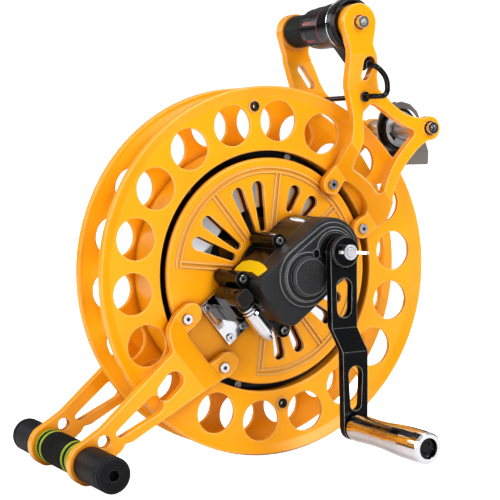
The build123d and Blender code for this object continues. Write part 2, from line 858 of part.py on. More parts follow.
shoe = arc_band(shoe_r, shoe_r - 7.0, pull_angle - 6.0, pivot_angle + 4.0)
shoe = shoe + Pos(*pivot) * Circle(7.5)
shoe = slab(shoe, shoe_back, shoe_front)
shoe = shoe - rod(pivot[0], pivot[1], 3.0 + running, shoe_back - 1, shoe_front + 1)
shoe = shoe + rod(pull_end[0], pull_end[1], 5.0, shoe_front - 2.0, pull_y + 2.0)
pocket_r = 2.4
pull_frame = Pos(pull_end[0], pull_y, pull_end[1]) * Rot(0, -pull_angle, 0)
shoe = shoe - pull_frame * Sphere(pocket_r)
shoe = shoe - pull_frame * Pos(0, 0, -pull_slack / 2) * Cylinder(pocket_r, pull_slack)
shoe = shoe - pull_frame * Pos(0, 0, -pull_slack) * Sphere(pocket_r)
shoe = shoe - pull_frame * Pos(6, 0, -pull_slack / 2) * Box(12, 2.6, 2.6 + pull_slack)
keep("brake_shoe", shoe)
lining = arc_band(lining_r, shoe_r, pull_angle + 14.0, pivot_angle - 16.0)
keep("brake_lining", slab(lining, shoe_back, shoe_front))
pin_back = shoe_back - 1.5
pivot_pin = rod(pivot[0], pivot[1], 3.0, pin_back, cover_face)
pivot_pin = pivot_pin + rod(pivot[0], pivot[1], 5.0, pin_back - 0.0, shoe_back - 0.3)
pivot_pin = pivot_pin + rod(pivot[0], pivot[1], 6.0, shoe_front + 0.3, cover_face - cover_thickness)
keep("brake_pivot_pin", pivot_pin)
back_cover = back_cover - rod(pivot[0], pivot[1], 3.0, 0, cover_face + 3)

# ---------------------------------------------------------------- main bearings
cover_bearing = tube(0, 0, bearing_r, shaft_r + running, -cover_face, -cover_face + bearing_width)
end_back = -boss_face + 4.5
end_bearing = tube(0, 0, end_bearing_r, shaft_r + running, end_back, end_back + bearing_width)
keep("main_bearings", cover_bearing, mirrored(cover_bearing), end_bearing)
cap = turned([
    (0, cover_face + back_cap_height),
    (back_cap_r - 3.0, cover_face + back_cap_height),
    (back_cap_r, cover_face + back_cap_height - 3.0),
    (back_cap_r, cover_face),
    (shaft_r + 2.0, cover_face),
    (shaft_r + 2.0, cover_face + back_cap_height - 2.0),
    (0, cover_face + back_cap_height - 2.0),
])
keep("back_cap", cap)

# ---------------------------------------------------------------- gearbox
def beam_hull(*circles):
    """Hull of circles given as (u, v, radius) on the slanted frame line."""
    placed = []
    for u, v, r in circles:
        cx, cz = from_beam(u, v)
        placed.append((cx, cz, r))
    return hull(*placed)


corner_r = 10.5
corner_u = corner_r - case_left + 2.0
corner_v = case_half_width - corner_r
case_outline = beam_hull(
    (centre_distance, 0, case_end_r),
    (corner_u, corner_v, corner_r),
    (corner_u, -corner_v, corner_r),
)
case_inside = offset(case_outline, -case_wall)

body = slab(case_outline, -body_back, -body_front)
for u, v in ear_spots:
    ear_x, ear_z = from_beam(u, v)
    body = body + rod(ear_x, ear_z, ear_r, -body_back, -body_front)
    web_x, web_z = from_beam(u, v * 0.72)
    body = body + slab(hull((ear_x, ear_z, ear_r), (web_x, web_z, ear_r)), -body_back, -body_front)
body = body - slab(case_inside, -body_back - case_wall, -body_front - 1)
body = body + tube(0, 0, 30.0, bearing_r + 0.5, -cover_face, -body_back - 0.5)
body = body + rod(crank_x, crank_z, crank_bearing_r + 2.5, -body_back - case_wall, -body_back - case_wall - 6.0)
body = body - rod(0, 0, bearing_r + 0.5, 0, -body_back - case_wall - 1)
rear_pocket = -body_back - case_wall - 0.5
body = body - rod(crank_x, crank_z, crank_bearing_r, rear_pocket, rear_pocket - 8.0)
for u, v in ear_spots:
    ear_x, ear_z = from_beam(u, v)
    body = body - rod(ear_x, ear_z, ear_screw_r, 0, -body_front - 1)
    cover = cover - rod(ear_x, ear_z, ear_screw_r, 0, -cover_face - 2)
keep("gearbox_body", body)

case_cover = slab(case_outline, -body_front, -cover_front)
front_edges = case_cover.faces().sort_by(Axis.Y)[0].edges()
case_cover = fillet(front_edges, 2.2)
case_cover = case_cover - slab(case_inside, -body_front + 1, -cover_front + case_wall)
ring_step = 4.5
low_plateau = beam_hull((0, 0, 25.5), (centre_distance, 0, 23.8))
high_plateau = beam_hull((0, 0, 21.6), (centre_distance, 0, 19.9))
case_cover = case_cover + slab(low_plateau, -cover_front + 1, -cover_front - 1.6)
case_cover = case_cover + rod(0, 0, 20.4, -cover_front + 1, -cover_front - ring_step)
case_cover = case_cover + turned([
    (0, -cover_front + 1.0),
    (boss_r, -cover_front + 1.0),
    (boss_r, -boss_face + 1.5),
    (boss_r - 1.5, -boss_face),
    (0, -boss_face),
])
crank_ring_front = -cover_front - 3.4
case_cover = case_cover + slab(high_plateau, -cover_front + 1, crank_ring_front)
case_cover = case_cover + tube(crank_x, crank_z, 17.2, 15.0, -cover_front + 1, crank_ring_front - 1.2)
case_cover = case_cover & slab(case_outline, -body_front, -boss_face - 5)
case_cover = case_cover - rod(0, 0, end_bearing_r, -cover_front + case_wall + 1, end_back)
case_cover = case_cover - rod(0, 0, shaft_r + 2.5, -cover_front, -boss_face + 3.0)
front_pocket = crank_ring_front + 1.2
case_cover = case_cover - rod(crank_x, crank_z, crank_bearing_r, -cover_front + case_wall + 1, front_pocket)
case_cover = case_cover - rod(crank_x, crank_z, crank_shaft_r + 0.6, -cover_front, -boss_face)
cover_screw_spots = []
for side in (-cover_screw_v, cover_screw_v):
    cover_screw_spots.append(from_beam(cover_screw_u, side))
cover_screws = []
recess = -cover_front - 1.6
for sx, sz in cover_screw_spots:
    case_cover = case_cover - rod(sx, sz, 3.4, -boss_face - 1, recess + 0.6)
    case_cover = case_cover - rod(sx, sz, 1.6, -boss_face, -cover_front + 2.2)
    cover_screws.append(rod(sx, sz, 2.9, recess - 1.2, recess + 0.6) + rod(sx, sz, 1.6, recess, -cover_front + 2.2))
keep("gearbox_cover", case_cover)

ear_screws = []
for u, v in ear_spots:
    ear_x, ear_z = from_beam(u, v)
    head = rod(ear_x, ear_z, ear_head_r, -body_front - 2.4, -body_front)
    head = head - slab(Pos(ear_x, ear_z) * RegularPolygon(1.5, 6), -body_front - 3, -body_front - 1.0)
    ear_screws.append(head + rod(ear_x, ear_z, ear_screw_r, -body_front, -cover_face + cover_thickness))
keep("gearbox_screws", *ear_screws, *cover_screws)

label_v = case_half_width
label_outline = Polygon(
    (-31.0, -31.0),
    (-24.0, -27.5),
    (-17.0, -28.5),
    (-14.3, -38.0),
    (-15.0, -54.0),
    (-18.2, -68.0),
    (-22.2, -78.5),
    (-31.3, -74.8),
    (-27.5, -60.0),
    (-27.5, -45.0),
    align=None,
)
label_outline = fillet(label_outline.vertices(), 2.0)
label_slope = math.degrees(math.atan2(case_end_r - case_half_width, centre_distance - corner_u))
label_plane = Plane(origin=(0, 0, 0), x_dir=(1, 0, 0), z_dir=(0, 0, 1))
label = extrude(label_plane * label_outline, amount=0.35)
label = Pos(corner_u, 0, label_v + 0.02) * Rot(0, -label_slope, 0) * Pos(-corner_u, 0, 0) * label
label = Rot(0, -frame_angle, 0) * label
keep("side_label", label - slab(case_outline, -20, -90))


def gear_outline(teeth, first_angle):
    """Spur gear with straight-sided teeth; the first tooth points at first_angle."""
    pitch_r = module_size * teeth / 2
    tip_radius = pitch_r + 0.88 * module_size
    root_radius = pitch_r - 1.15 * module_size
    pitch_angle = 360.0 / teeth
    points = []
    for number in range(teeth):
        centre = first_angle + number * pitch_angle
        points.append(polar(root_radius, centre - 0.34 * pitch_angle))
        points.append(polar(tip_radius, centre - 0.11 * pitch_angle))
        points.append(polar(tip_radius, centre + 0.11 * pitch_angle))
        points.append(polar(root_radius, centre + 0.34 * pitch_angle))
    return Polygon(*points, align=None)


gear_back = -64.0
gear_front = gear_back - gear_width
crank_gear = slab(
    Pos(crank_x, crank_z) * gear_outline(crank_teeth, frame_angle + 180.0)
    - Pos(crank_x, crank_z) * Circle(crank_shaft_r),
    gear_back,
    gear_front,
)
keep("crank_gear", crank_gear)
spool_gear = slab(
    gear_outline(spool_teeth, frame_angle + 180.0 / spool_teeth) - Circle(shaft_r),
    gear_back,
    gear_front,
)
keep("spool_gear", spool_gear)

rear_bearing_back = rear_pocket
crank_bearings = [
    tube(crank_x, crank_z, crank_bearing_r, crank_shaft_r + running, rear_bearing_back, rear_bearing_back - 5.0),
    tube(crank_x, crank_z, crank_bearing_r, crank_shaft_r + running, front_pocket, front_pocket + 5.0),
]
keep("crank_bearings", *crank_bearings)

# ---------------------------------------------------------------- crank
crank_front_face = crank_back_face + crank_thickness
hub_front = crank_front_face + 3.6
crank_shaft = rod(crank_x, crank_z, crank_shaft_r, rear_pocket - 0.3, -hub_front)
crank_shaft = crank_shaft + rod(crank_x, crank_z, 4.0, -hub_front, -hub_front - 7.5)
keep("crank_shaft", crank_shaft)

collar_back = crank_ring_front - 0.5
collar = tube(crank_x, crank_z, crank_top_r - 1.0, crank_shaft_r, collar_back, -crank_back_face)
front_disc = turned([
    (crank_shaft_r, -crank_front_face),
    (crank_top_r + 0.2, -crank_front_face),
    (crank_top_r + 0.2, -hub_front + 1.0),
    (crank_top_r - 0.8, -hub_front),
    (crank_shaft_r, -hub_front),
], crank_x, crank_z)
keep("crank_collars", collar, front_disc)

knob_z = crank_z - crank_length
arm_outline = hull((crank_x, crank_z, crank_top_r), (crank_x, knob_z, crank_low_r))
upper_slot = hull((crank_x, crank_z - 29.5, 7.6), (crank_x, crank_z - 48.0, 7.0))
lower_slot = hull((crank_x, crank_z - 100.0, 6.8), (crank_x, crank_z - 125.0, 5.4))
arm_outline = arm_outline - upper_slot - lower_slot
z_bend_a = crank_z - crank_bend_start
z_bend_b = crank_z - crank_bend_end
low_back = crank_back_face + crank_offset
low_front = crank_front_face + crank_offset
dogleg = extrude(
    Plane.YZ * Polygon(
        (-crank_back_face, crank_z + 40),
        (-crank_back_face, z_bend_a),
        (-low_back, z_bend_b),
        (-low_back, knob_z - 40),
        (-low_front, knob_z - 40),
        (-low_front, z_bend_b - 1.5),
        (-crank_front_face, z_bend_a - 1.5),
        (-crank_front_face, crank_z + 40),
        align=None,
    ),
    amount=200.0,
    both=True,
)
crank_arm = slab(arm_outline, -60, -140) & dogleg
crank_arm = crank_arm - rod(crank_x, crank_z, crank_shaft_r, -60, -140)
crank_arm = crank_arm - rod(crank_x, knob_z, knob_spindle_r, -60, -140)
keep("crank_arm", crank_arm)

wing_root = hub_front + 8.5
wing = Polygon(
    (5.0, -hub_front - 1.0),
    (8.5, -hub_front - 2.0),
    (12.9, -wing_root + 0.5),
    (14.8, -wing_root - 3.0),
    (13.6, -wing_root - 4.8),
    (11.4, -wing_root - 4.2),
    (5.0, -hub_front - 6.5),
    align=None,
)
wing = extrude(Plane.XY * wing, amount=1.3, both=True)
wing_nut = rod(0, 0, 6.4, -hub_front, -hub_front - 7.0) + wing + Rot(0, 180, 0) * wing
wing_nut = wing_nut - rod(0, 0, 4.0, -hub_front + 1, -hub_front - 20)
keep("crank_wing_nut", Pos(crank_x, 0, crank_z) * Rot(0, 4, 0) * wing_nut)

knob_start = low_front + 0.6
knob_end = knob_start + knob_length
knob = turned([
    (knob_bore_r, -knob_start),
    (9.4, -knob_start),
    (11.3, -knob_start - 2.0),
    (11.5, -knob_start - 8.0),
    (10.9, -knob_start - 22.0),
    (10.8, -knob_start - 34.0),
    (11.3, -knob_start - 46.0),
    (12.3, -knob_start - 60.0),
    (12.9, -knob_start - 74.0),
    (12.8, -knob_start - 88.0),
    (12.3, -knob_end + 1.6),
    (11.0, -knob_end),
    (8.2, -knob_end),
    (8.2, -knob_end + 7.0),
    (knob_bore_r, -knob_end + 7.0),
], crank_x, knob_z)
keep("crank_knob", knob)
spindle_tip = knob_end - 6.8
spindle = rod(crank_x, knob_z, knob_spindle_r, -low_back, -spindle_tip)
keep("knob_spindle", spindle)
bush = turned([
    (0, -spindle_tip),
    (7.4, -spindle_tip),
    (7.4, -knob_end + 3.4),
    (4.6, -knob_end + 3.4),
    (3.8, -knob_end + 4.6),
    (0, -knob_end + 4.6),
], crank_x, knob_z)
keep("knob_retainer", bush)

# ---------------------------------------------------------------- spring stop
stop_plate_back = -cover_face - rib_height
stop_plate_front = stop_plate_back - plate_thickness


def on_beam(sketch):
    """Turn a sketch drawn in u and v onto the slanted frame line."""
    return Rot(0, 0, frame_angle) * sketch


bracket = slab(on_beam(Pos(plate_u, 0) * Rectangle(plate_width, plate_height)), stop_plate_back, stop_plate_front)
bracket_spots = []
for du in (-7.6, 7.6):
    for dv in (-17.2, 17.2):
        bracket_spots.append(from_beam(plate_u + du, dv))
for sx, sz in bracket_spots:
    bracket = bracket - rod(sx, sz, 1.7, 0, -40)
    cover = cover - rod(sx, sz, 1.7, 0, -40)
keep("stop_plate", bracket)
bracket_screws = []
for sx, sz in bracket_spots:
    head = rod(sx, sz, 3.2, stop_plate_front - 1.7, stop_plate_front)
    head = head - slab(Pos(sx, sz) * RegularPolygon(1.3, 6), stop_plate_front - 2, stop_plate_front - 0.8)
    bracket_screws.append(head + rod(sx, sz, 1.7, stop_plate_front, -cover_face + cover_thickness))
keep("stop_plate_screws", *bracket_screws)

stop_u = -52.6
stop_v = 14.5
stop_y = stop_plate_front - stop_reach
tower_half = 6.9
tower_length = 13.0
foot_u = (-59.5, -43.0)
foot_v = (-6.0, 13.5)
foot_front = stop_plate_front - 22.0
shelf_back = stop_plate_front - 12.0
shelf_front = foot_front - 6.0
block_foot = Pos((foot_u[0] + foot_u[1]) / 2, (foot_v[0] + foot_v[1]) / 2) * RectangleRounded(
    foot_u[1] - foot_u[0], foot_v[1] - foot_v[0], 4.0
)
tower = Pos(stop_u, stop_v + tower_length / 2) * RectangleRounded(2 * tower_half, tower_length, 4.0)
shelf_length = stop_v + tower_length - foot_v[0] - 6.0
shelf = Pos(stop_u, stop_v + tower_length - shelf_length / 2) * RectangleRounded(
    2 * tower_half, shelf_length, 4.0
)
block = slab(on_beam(block_foot), stop_plate_front, foot_front)
block = block + slab(on_beam(shelf), shelf_back, shelf_front)
block = block + slab(on_beam(tower), shelf_back, stop_y - tower_half - 1.0)
sx, sz = from_beam(stop_u, stop_v)
stop_side = from_beam(0.0, -1.0)
tilt_cos = math.cos(math.radians(stop_tilt))
tilt_sin = math.sin(math.radians(stop_tilt))
stop_axis = Vector(stop_side[0] * tilt_cos, -tilt_sin, stop_side[1] * tilt_cos)
stop_frame = Plane(origin=(sx, stop_y, sz), z_dir=stop_axis)


def along_stop(r_out, r_in, start, end):
    """Sleeve along the axis of the spring stop."""
    ring = Circle(r_out)
    if r_in > 0:
        ring = ring - Circle(r_in)
    return extrude(stop_frame.offset(start) * ring, amount=end - start)


block = block + along_stop(7.2, 0, -6.0, 3.6)
block = block - along_stop(5.0, 0, -11.0, 0.0)
block = block - along_stop(2.6, 0, -16.0, 5.0)
keep("stop_block", block)
stop_knob = along_stop(6.4, 0, 4.0, 5.4)
stop_knob = stop_knob + along_stop(5.4, 0, 5.0, 6.8)
stop_knob = stop_knob + along_stop(6.8, 0, 6.6, 8.4)
stop_knob = stop_knob + along_stop(5.8, 0, 8.0, 9.8)
knob_body = revolve(
    Plane.XZ * Polygon(
        (0, 9.6),
        (stop_knob_r - 0.8, 9.6),
        (stop_knob_r, 11.6),
        (stop_knob_r, stop_knob_length - 10.0),
        (stop_knob_r - 1.2, stop_knob_length - 5.0),
        (stop_knob_r - 3.4, stop_knob_length),
        (0, stop_knob_length),
        align=None,
    ),
    axis=Axis.Z,
)
body_of_knob = stop_frame.location * knob_body
flute_count = 6
for number in range(flute_count):
    turn = number * 360.0 / flute_count
    groove = stop_frame.offset(12.0) * Rot(0, 0, turn) * Pos(stop_knob_r + 3.6, 0, 0) * Cylinder(
        4.4, stop_knob_length, align=(Align.CENTER, Align.CENTER, Align.MIN)
    )
    body_of_knob = body_of_knob - groove
stop_knob = stop_knob + body_of_knob
stem_head_top = -stop_travel - 4.4
stop_knob = stop_knob + along_stop(2.5, 0, stem_head_top - 1.6, 4.2)
stop_knob = stop_knob + along_stop(4.4, 0, stem_head_top - 1.6, stem_head_top)
keep("stop_knob", stop_knob)
spring_wire = 0.5
spring_length = stop_travel + 3.0
spring_path = Helix(pitch=1.9, height=spring_length, radius=3.6)
spring_start = Plane(origin=spring_path @ 0, z_dir=spring_path % 0)
spring = sweep(spring_start * Circle(spring_wire), path=spring_path)
keep("stop_spring", stop_frame.offset(-spring_length - 0.7) * spring)

# ---------------------------------------------------------------- foot bar
keep("foot_tube", rod(foot_x, foot_z, foot_tube_r, -foot_groove, foot_groove))
foam_half = arm_face - arm_thickness - 0.2
foam = tube(foot_x, foot_z, foot_r - 0.4, foot_tube_r, -foam_half, foam_half)
stripes = []
for place in stripe_places:
    for half_place in (place - 1.0, place + 1.0):
        stripes.append(tube(foot_x, foot_z, foot_r - 0.25, foot_r - 1.2, half_place - 0.4, half_place + 0.4))
for stripe in stripes:
    foam = foam - stripe
keep("foot_foam", foam)
keep("foam_stripes", *stripes)
foot_grip = turned([
    (foot_tube_r, -arm_face - 0.2),
    (foot_r - 0.6, -arm_face - 0.2),
    (foot_r, -arm_face - 1.0),
    (foot_r, -foot_groove + 0.8),
    (foot_r - 0.8, -foot_groove),
    (foot_tube_r, -foot_groove),
], foot_x, foot_z)
keep("foot_grips", foot_grip, mirrored(foot_grip))
foot_cap = turned([
    (0, -foot_groove),
    (foot_r - 1.6, -foot_groove),
    (foot_r - 1.6, -foot_groove - 0.8),
    (foot_r, -foot_groove - 1.4),
    (foot_r, -foot_half_length + 1.6),
    (foot_r - 1.6, -foot_half_length),
    (0, -foot_half_length),
], foot_x, foot_z)
hex_hole = Pos(foot_x, foot_z) * RegularPolygon(hex_across / 2, 6, major_radius=False)
foot_cap = foot_cap - slab(hex_hole, -foot_half_length - 1, -foot_groove - 1.0)
keep("foot_caps", foot_cap, mirrored(foot_cap))

# ---------------------------------------------------------------- line guide
tip_axle = rod(tip_x, tip_z, tip_bolt_r, -arm_face + 1.0, arm_face + 6.0)
tip_head = rod(tip_x, tip_z, 5.4, -arm_face - 5.0, -arm_face + 1.2)
tip_head = tip_head - slab(Pos(tip_x, tip_z) * RegularPolygon(3.0, 6), -arm_face - 6, -arm_face - 1.6)
keep("guide_axle", tip_axle + tip_head)
tip_nut = slab(Pos(tip_x, tip_z) * RegularPolygon(6.2, 6), arm_face - 1.2, arm_face + 4.4)
tip_nut = tip_nut - rod(tip_x, tip_z, tip_bolt_r, arm_face - 2, arm_face + 6)
keep("axle_nuts", handle_nut, tip_nut)
guard_face = guard_half_gap + guard_thickness
spacer_end = arm_face - arm_thickness
spacer = tube(tip_x, tip_z, 9.0, tip_bolt_r, -spacer_end, -guard_face - 0.3)
keep("guide_spacers", spacer, mirrored(spacer))

guard_points = [
    (-20.5, -8.0),
    (-22.0, 2.0),
    (-19.0, 13.5),
    (-12.0, 22.5),
    (-2.0, 25.5),
    (8.0, 23.0),
    (15.5, 16.5),
    (20.5, 6.0),
    (23.5, -7.0),
    (28.5, -21.0),
    (28.0, -33.0),
    (2.0, -33.0),
    (-3.0, -27.0),
    (-14.0, -19.0),
]
placed_guard = [(tip_x + gx, tip_z + gz) for gx, gz in guard_points]
guard = Polygon(*placed_guard, align=None)
guard = fillet(guard.vertices(), 2.4)
guard_far = slab(guard, guard_half_gap, guard_face)
open_side = hull((tip_x, tip_z, 19.6), (tip_x - 30.0, tip_z - 6.0, 22.0))
strap = hull((tip_x, tip_z, 8.5), (tip_x + 20.0, tip_z - 10.0, 6.0))
guard_near = slab((guard - open_side) + (strap & (guard + Pos(tip_x, tip_z) * Circle(19.6))), -guard_face, -guard_half_gap)
guard_bore = rod(tip_x, tip_z, tip_bolt_r + running, -20, 20)
rivet_spots = ((7.0, 21.2), (22.0, -14.0), (8.0, -27.4))
rivets = []
for rx, rz in rivet_spots:
    rivets.append(rod(tip_x + rx, tip_z + rz, 1.6, -guard_half_gap, guard_half_gap))
guard_frame = joined(guard_near, guard_far, *rivets) - guard_bore
keep("guide_guard", guard_frame)
roller_x = tip_x + rivet_spots[2][0]
roller_z = tip_z + rivet_spots[2][1]
keep("guide_roller", tube(roller_x, roller_z, 3.4, 1.6, -guard_half_gap + 0.3, guard_half_gap - 0.3))
tyre_inner = sheave_r - tyre_depth
sheave = turned([
    (tip_bolt_r + running, -guard_half_gap + 0.4),
    (7.0, -guard_half_gap + 0.4),
    (7.6, -1.6),
    (tyre_inner - 1.8, -1.6),
    (tyre_inner - 1.2, -sheave_half_width),
    (tyre_inner, -sheave_half_width),
    (tyre_inner, sheave_half_width),
    (tyre_inner - 1.2, sheave_half_width),
    (tyre_inner - 1.8, 1.6),
    (7.6, 1.6),
    (7.0, guard_half_gap - 0.4),
    (tip_bolt_r + running, guard_half_gap - 0.4),
], tip_x, tip_z)
for number in range(3):
    start = polar(11.2, 200.0 + number * 120.0)
    end = polar(11.2, 230.0 + number * 120.0)
    window = hull((tip_x + start[0], tip_z + start[1], 1.7), (tip_x + end[0], tip_z + end[1], 1.7))
    sheave = sheave - slab(window, -10, 10)
keep("guide_sheave", sheave)
tyre = turned([
    (tyre_inner, -sheave_half_width),
    (sheave_r, -sheave_half_width),
    (sheave_r, -sheave_half_width + 0.7),
    (tyre_inner + 0.6, 0),
    (sheave_r, sheave_half_width - 0.7),
    (sheave_r, sheave_half_width),
    (tyre_inner, sheave_half_width),
], tip_x, tip_z)
keep("sheave_tyre", tyre)

keep("front_cover", cover)
keep("back_cover", back_cover)

# ---------------------------------------------------------------- origin and export
boxes = []
for solids in pieces.values():
    for solid in solids:
        boxes.append(solid.bounding_box())
x_low = min(b.min.X for b in boxes)
x_high = max(b.max.X for b in boxes)
y_low = min(b.min.Y for b in boxes)
y_high = max(b.max.Y for b in boxes)
z_low = min(b.min.Z for b in boxes)
z_high = max(b.max.Z for b in boxes)
shift = (-(x_low + x_high) / 2, -(y_low + y_high) / 2, -z_low)
print("size", x_high - x_low, y_high - y_low, z_high - z_low, "z", z_low, z_high)
print("shift", shift)
print("crank", crank_x, crank_z, "knob", knob_z)
print("stop", (sx, stop_y, sz), stop_axis)
print("pivot", pivot, "pull", pull_end, pull_angle)
for name, solids in pieces.items():
    moved = [Pos(*shift) * solid for solid in solids]
    if len(moved) == 1:
        node = moved[0]
    else:
        node = Compound(children=moved)
    export_step(node, f"parts/{name}.step")
print(len(pieces), "pieces")
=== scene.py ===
# %% [markdown]
# # Kite line winder
# A winder for kite lines: a perforated spool between two pairs of cast arms, with a handle
# above, a foot bar below, a geared crank in front and a sheave guide for the line. The
# construction comes in as a fixed frame of rigid pieces at their real size. This lesson
# dresses it: a camera and a studio, then one finish after another, then the soft and fine
# pieces that a rigid frame leaves plain.

# %% Load the frame
import math
import json

import bmesh
import bpy
from mathutils import Matrix, Vector, noise


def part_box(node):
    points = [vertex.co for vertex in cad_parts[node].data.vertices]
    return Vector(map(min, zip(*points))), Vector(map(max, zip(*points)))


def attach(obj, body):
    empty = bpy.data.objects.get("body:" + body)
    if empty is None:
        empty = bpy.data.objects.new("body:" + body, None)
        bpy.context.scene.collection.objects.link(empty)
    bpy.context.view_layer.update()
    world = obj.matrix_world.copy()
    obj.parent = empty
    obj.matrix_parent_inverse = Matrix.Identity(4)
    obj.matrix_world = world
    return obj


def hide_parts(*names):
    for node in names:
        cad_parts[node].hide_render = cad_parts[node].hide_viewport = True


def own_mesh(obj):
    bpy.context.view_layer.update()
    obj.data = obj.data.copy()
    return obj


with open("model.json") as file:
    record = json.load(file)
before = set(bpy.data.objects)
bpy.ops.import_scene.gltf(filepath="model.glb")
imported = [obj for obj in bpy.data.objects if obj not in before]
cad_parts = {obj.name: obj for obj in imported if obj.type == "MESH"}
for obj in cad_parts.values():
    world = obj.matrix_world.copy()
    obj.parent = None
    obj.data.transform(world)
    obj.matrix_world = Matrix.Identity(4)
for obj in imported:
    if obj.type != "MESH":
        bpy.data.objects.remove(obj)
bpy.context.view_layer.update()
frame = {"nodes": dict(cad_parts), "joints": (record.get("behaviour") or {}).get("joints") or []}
nodes = frame["nodes"]
print("pieces in the frame:", len(nodes))

# %% [markdown]
# ## Camera
# A long lens about 1.3 m away keeps the two rims of the spool nearly parallel, as in a
# product shot. The view is turned 29 degrees round from the crank side, is 4 degrees
# above level and rolled by less than a degree. Its axes could come from a tracking
# constraint, but three angles written out can be read and corrected one at a time.

# %% Camera
view_turn = math.radians(-29.14)
view_rise = math.radians(4.08)
view_roll = math.radians(-0.8)
towards = Vector((
    math.sin(view_turn) * math.cos(view_rise),
    -math.cos(view_turn) * math.cos(view_rise),
    math.sin(view_rise),
))
right = Vector((math.cos(view_turn), math.sin(view_turn), 0.0))
up = towards.cross(right)
rolled_right = right * math.cos(view_roll) + up * math.sin(view_roll)
rolled_up = up * math.cos(view_roll) - right * math.sin(view_roll)
camera_data = bpy.data.cameras.new("camera")
camera_data.sensor_width = 36.0
picture_side = 500.0
focal_pixels = 1394.05
camera_data.lens = focal_pixels / picture_side * camera_data.sensor_width
camera_data.clip_start = 0.05
camera_data.clip_end = 50.0
camera = bpy.data.objects.new("camera", camera_data)
bpy.context.scene.collection.objects.link(camera)
camera_place = (-0.59339, -1.00605, 0.2647)
turn = Matrix((rolled_right, rolled_up, towards)).transposed()
camera.matrix_world = Matrix.Translation(camera_place) @ turn.to_4x4()
bpy.context.scene.camera = camera
print("lens", round(camera_data.lens, 1), "mm")

# %% [markdown]
# ## Studio
# Satin paint needs broad light, and polished metal needs something dark to reflect. One
# bright room would light the paint and leave the metal flat. So the room is white only to
# the camera, has a dark band for reflections, and six soft lights model the forms. The
# floor is a wide pale sheet that only takes a faint contact shadow.


# %% Studio helpers
def area_light(name, place, target, size, power):
    """Large soft light that looks at a point."""
    data = bpy.data.lights.new(name, "AREA")
    data.shape = "RECTANGLE"
    data.size = size[0]
    data.size_y = size[1]
    data.energy = power
    lamp = bpy.data.objects.new(name, data)
    bpy.context.scene.collection.objects.link(lamp)
    aim = Vector(target) - Vector(place)
    lamp.location = place
    lamp.rotation_euler = aim.to_track_quat("-Z", "Y").to_euler()


# %% Lights
middle = (0.0, 0.0, 0.2)
lights = (
    ("key_light", (0.7, -2.2, 1.9), (1.1, 1.1), 36.0),
    ("left_light", (-1.9, -1.3, 0.9), (0.7, 1.5), 15.0),
    ("right_light", (1.9, -0.7, 0.9), (0.4, 1.6), 7.0),
    ("top_light", (0.1, 0.2, 2.4), (2.2, 1.6), 9.0),
    ("back_light", (-1.5, 1.6, 1.2), (1.5, 1.2), 20.0),
    ("low_light", (-0.9, -2.1, 0.25), (1.4, 0.5), 5.0),
)
for name, place, size, power in lights:
    area_light(name, place, middle, size, power)
print("lights", len(lights))

# %% Room
world = bpy.data.worlds.new("studio")
bpy.context.scene.world = world
world.use_nodes = True
tree = world.node_tree
tree.nodes.clear()
where = tree.nodes.new("ShaderNodeTexCoord")
split = tree.nodes.new("ShaderNodeSeparateXYZ")
tree.links.new(where.outputs["Generated"], split.inputs[0])
height = tree.nodes.new("ShaderNodeValToRGB")
below, above = height.color_ramp.elements
below.position, below.color = 0.40, (0.22, 0.22, 0.22, 1)
above.position, above.color = 0.92, (0.60, 0.61, 0.63, 1)
dark_band = ((0.50, 0.06), (0.64, 0.08))
for place, grey in dark_band:
    band = height.color_ramp.elements.new(place)
    band.color = (grey, grey, grey * 1.02, 1)
lift = tree.nodes.new("ShaderNodeMapRange")
lift.inputs["From Min"].default_value = -1.0
lift.inputs["From Max"].default_value = 1.0
tree.links.new(split.outputs["Z"], lift.inputs["Value"])
tree.links.new(lift.outputs["Result"], height.inputs["Fac"])
seen = tree.nodes.new("ShaderNodeLightPath")
pick = tree.nodes.new("ShaderNodeMix")
pick.data_type = "RGBA"
tree.links.new(seen.outputs["Is Camera Ray"], pick.inputs["Factor"])
tree.links.new(height.outputs["Color"], pick.inputs["A"])
pick.inputs["B"].default_value = (1.0, 1.0, 1.0, 1.0)
glow = tree.nodes.new("ShaderNodeBackground")
tree.links.new(pick.outputs["Result"], glow.inputs["Color"])
glow.inputs["Strength"].default_value = 1.0
room_out = tree.nodes.new("ShaderNodeOutputWorld")
tree.links.new(glow.outputs["Background"], room_out.inputs["Surface"])
bpy.context.scene.view_settings.view_transform = "Standard"
bpy.context.scene.view_settings.look = "Medium High Contrast"
print("room with a dark band at", [place for place, grey in dark_band])

# %% Floor
floor_mesh = bpy.data.meshes.new("floor")
reach = 12.0
floor_corners = [
    (-reach, -reach, 0.0), (reach, -reach, 0.0), (reach, reach, 0.0), (-reach, reach, 0.0),
]
floor_mesh.from_pydata(floor_corners, [], [(0, 1, 2, 3)])
floor = bpy.data.objects.new("floor", floor_mesh)
bpy.context.scene.collection.objects.link(floor)
floor_drop = 0.0004
floor.location.z = -floor_drop
print("floor", 2 * reach, "m wide")

# %% [markdown]
# ## Shared effects
# Five effects return in almost every finish: an edge mask that paints a pale highlight and
# edge wear, a fine grain for bump, long thin scuffs, painted shade in hollows and corners,
# and slow clouds that vary colour and gloss as handling does. They could be laid out again in
# each material, but a node group made once keeps them alike and is corrected in one place.


# %% Node helpers
def new_group(name, inputs, outputs):
    """Empty shader node group with named sockets; returns the tree and its two ends."""
    group = bpy.data.node_groups.new(name, "ShaderNodeTree")
    for label, kind, value in inputs:
        socket = group.interface.new_socket(label, in_out="INPUT", socket_type=kind)
        socket.default_value = value
    for label, kind in outputs:
        group.interface.new_socket(label, in_out="OUTPUT", socket_type=kind)
    return group, group.nodes.new("NodeGroupInput"), group.nodes.new("NodeGroupOutput")


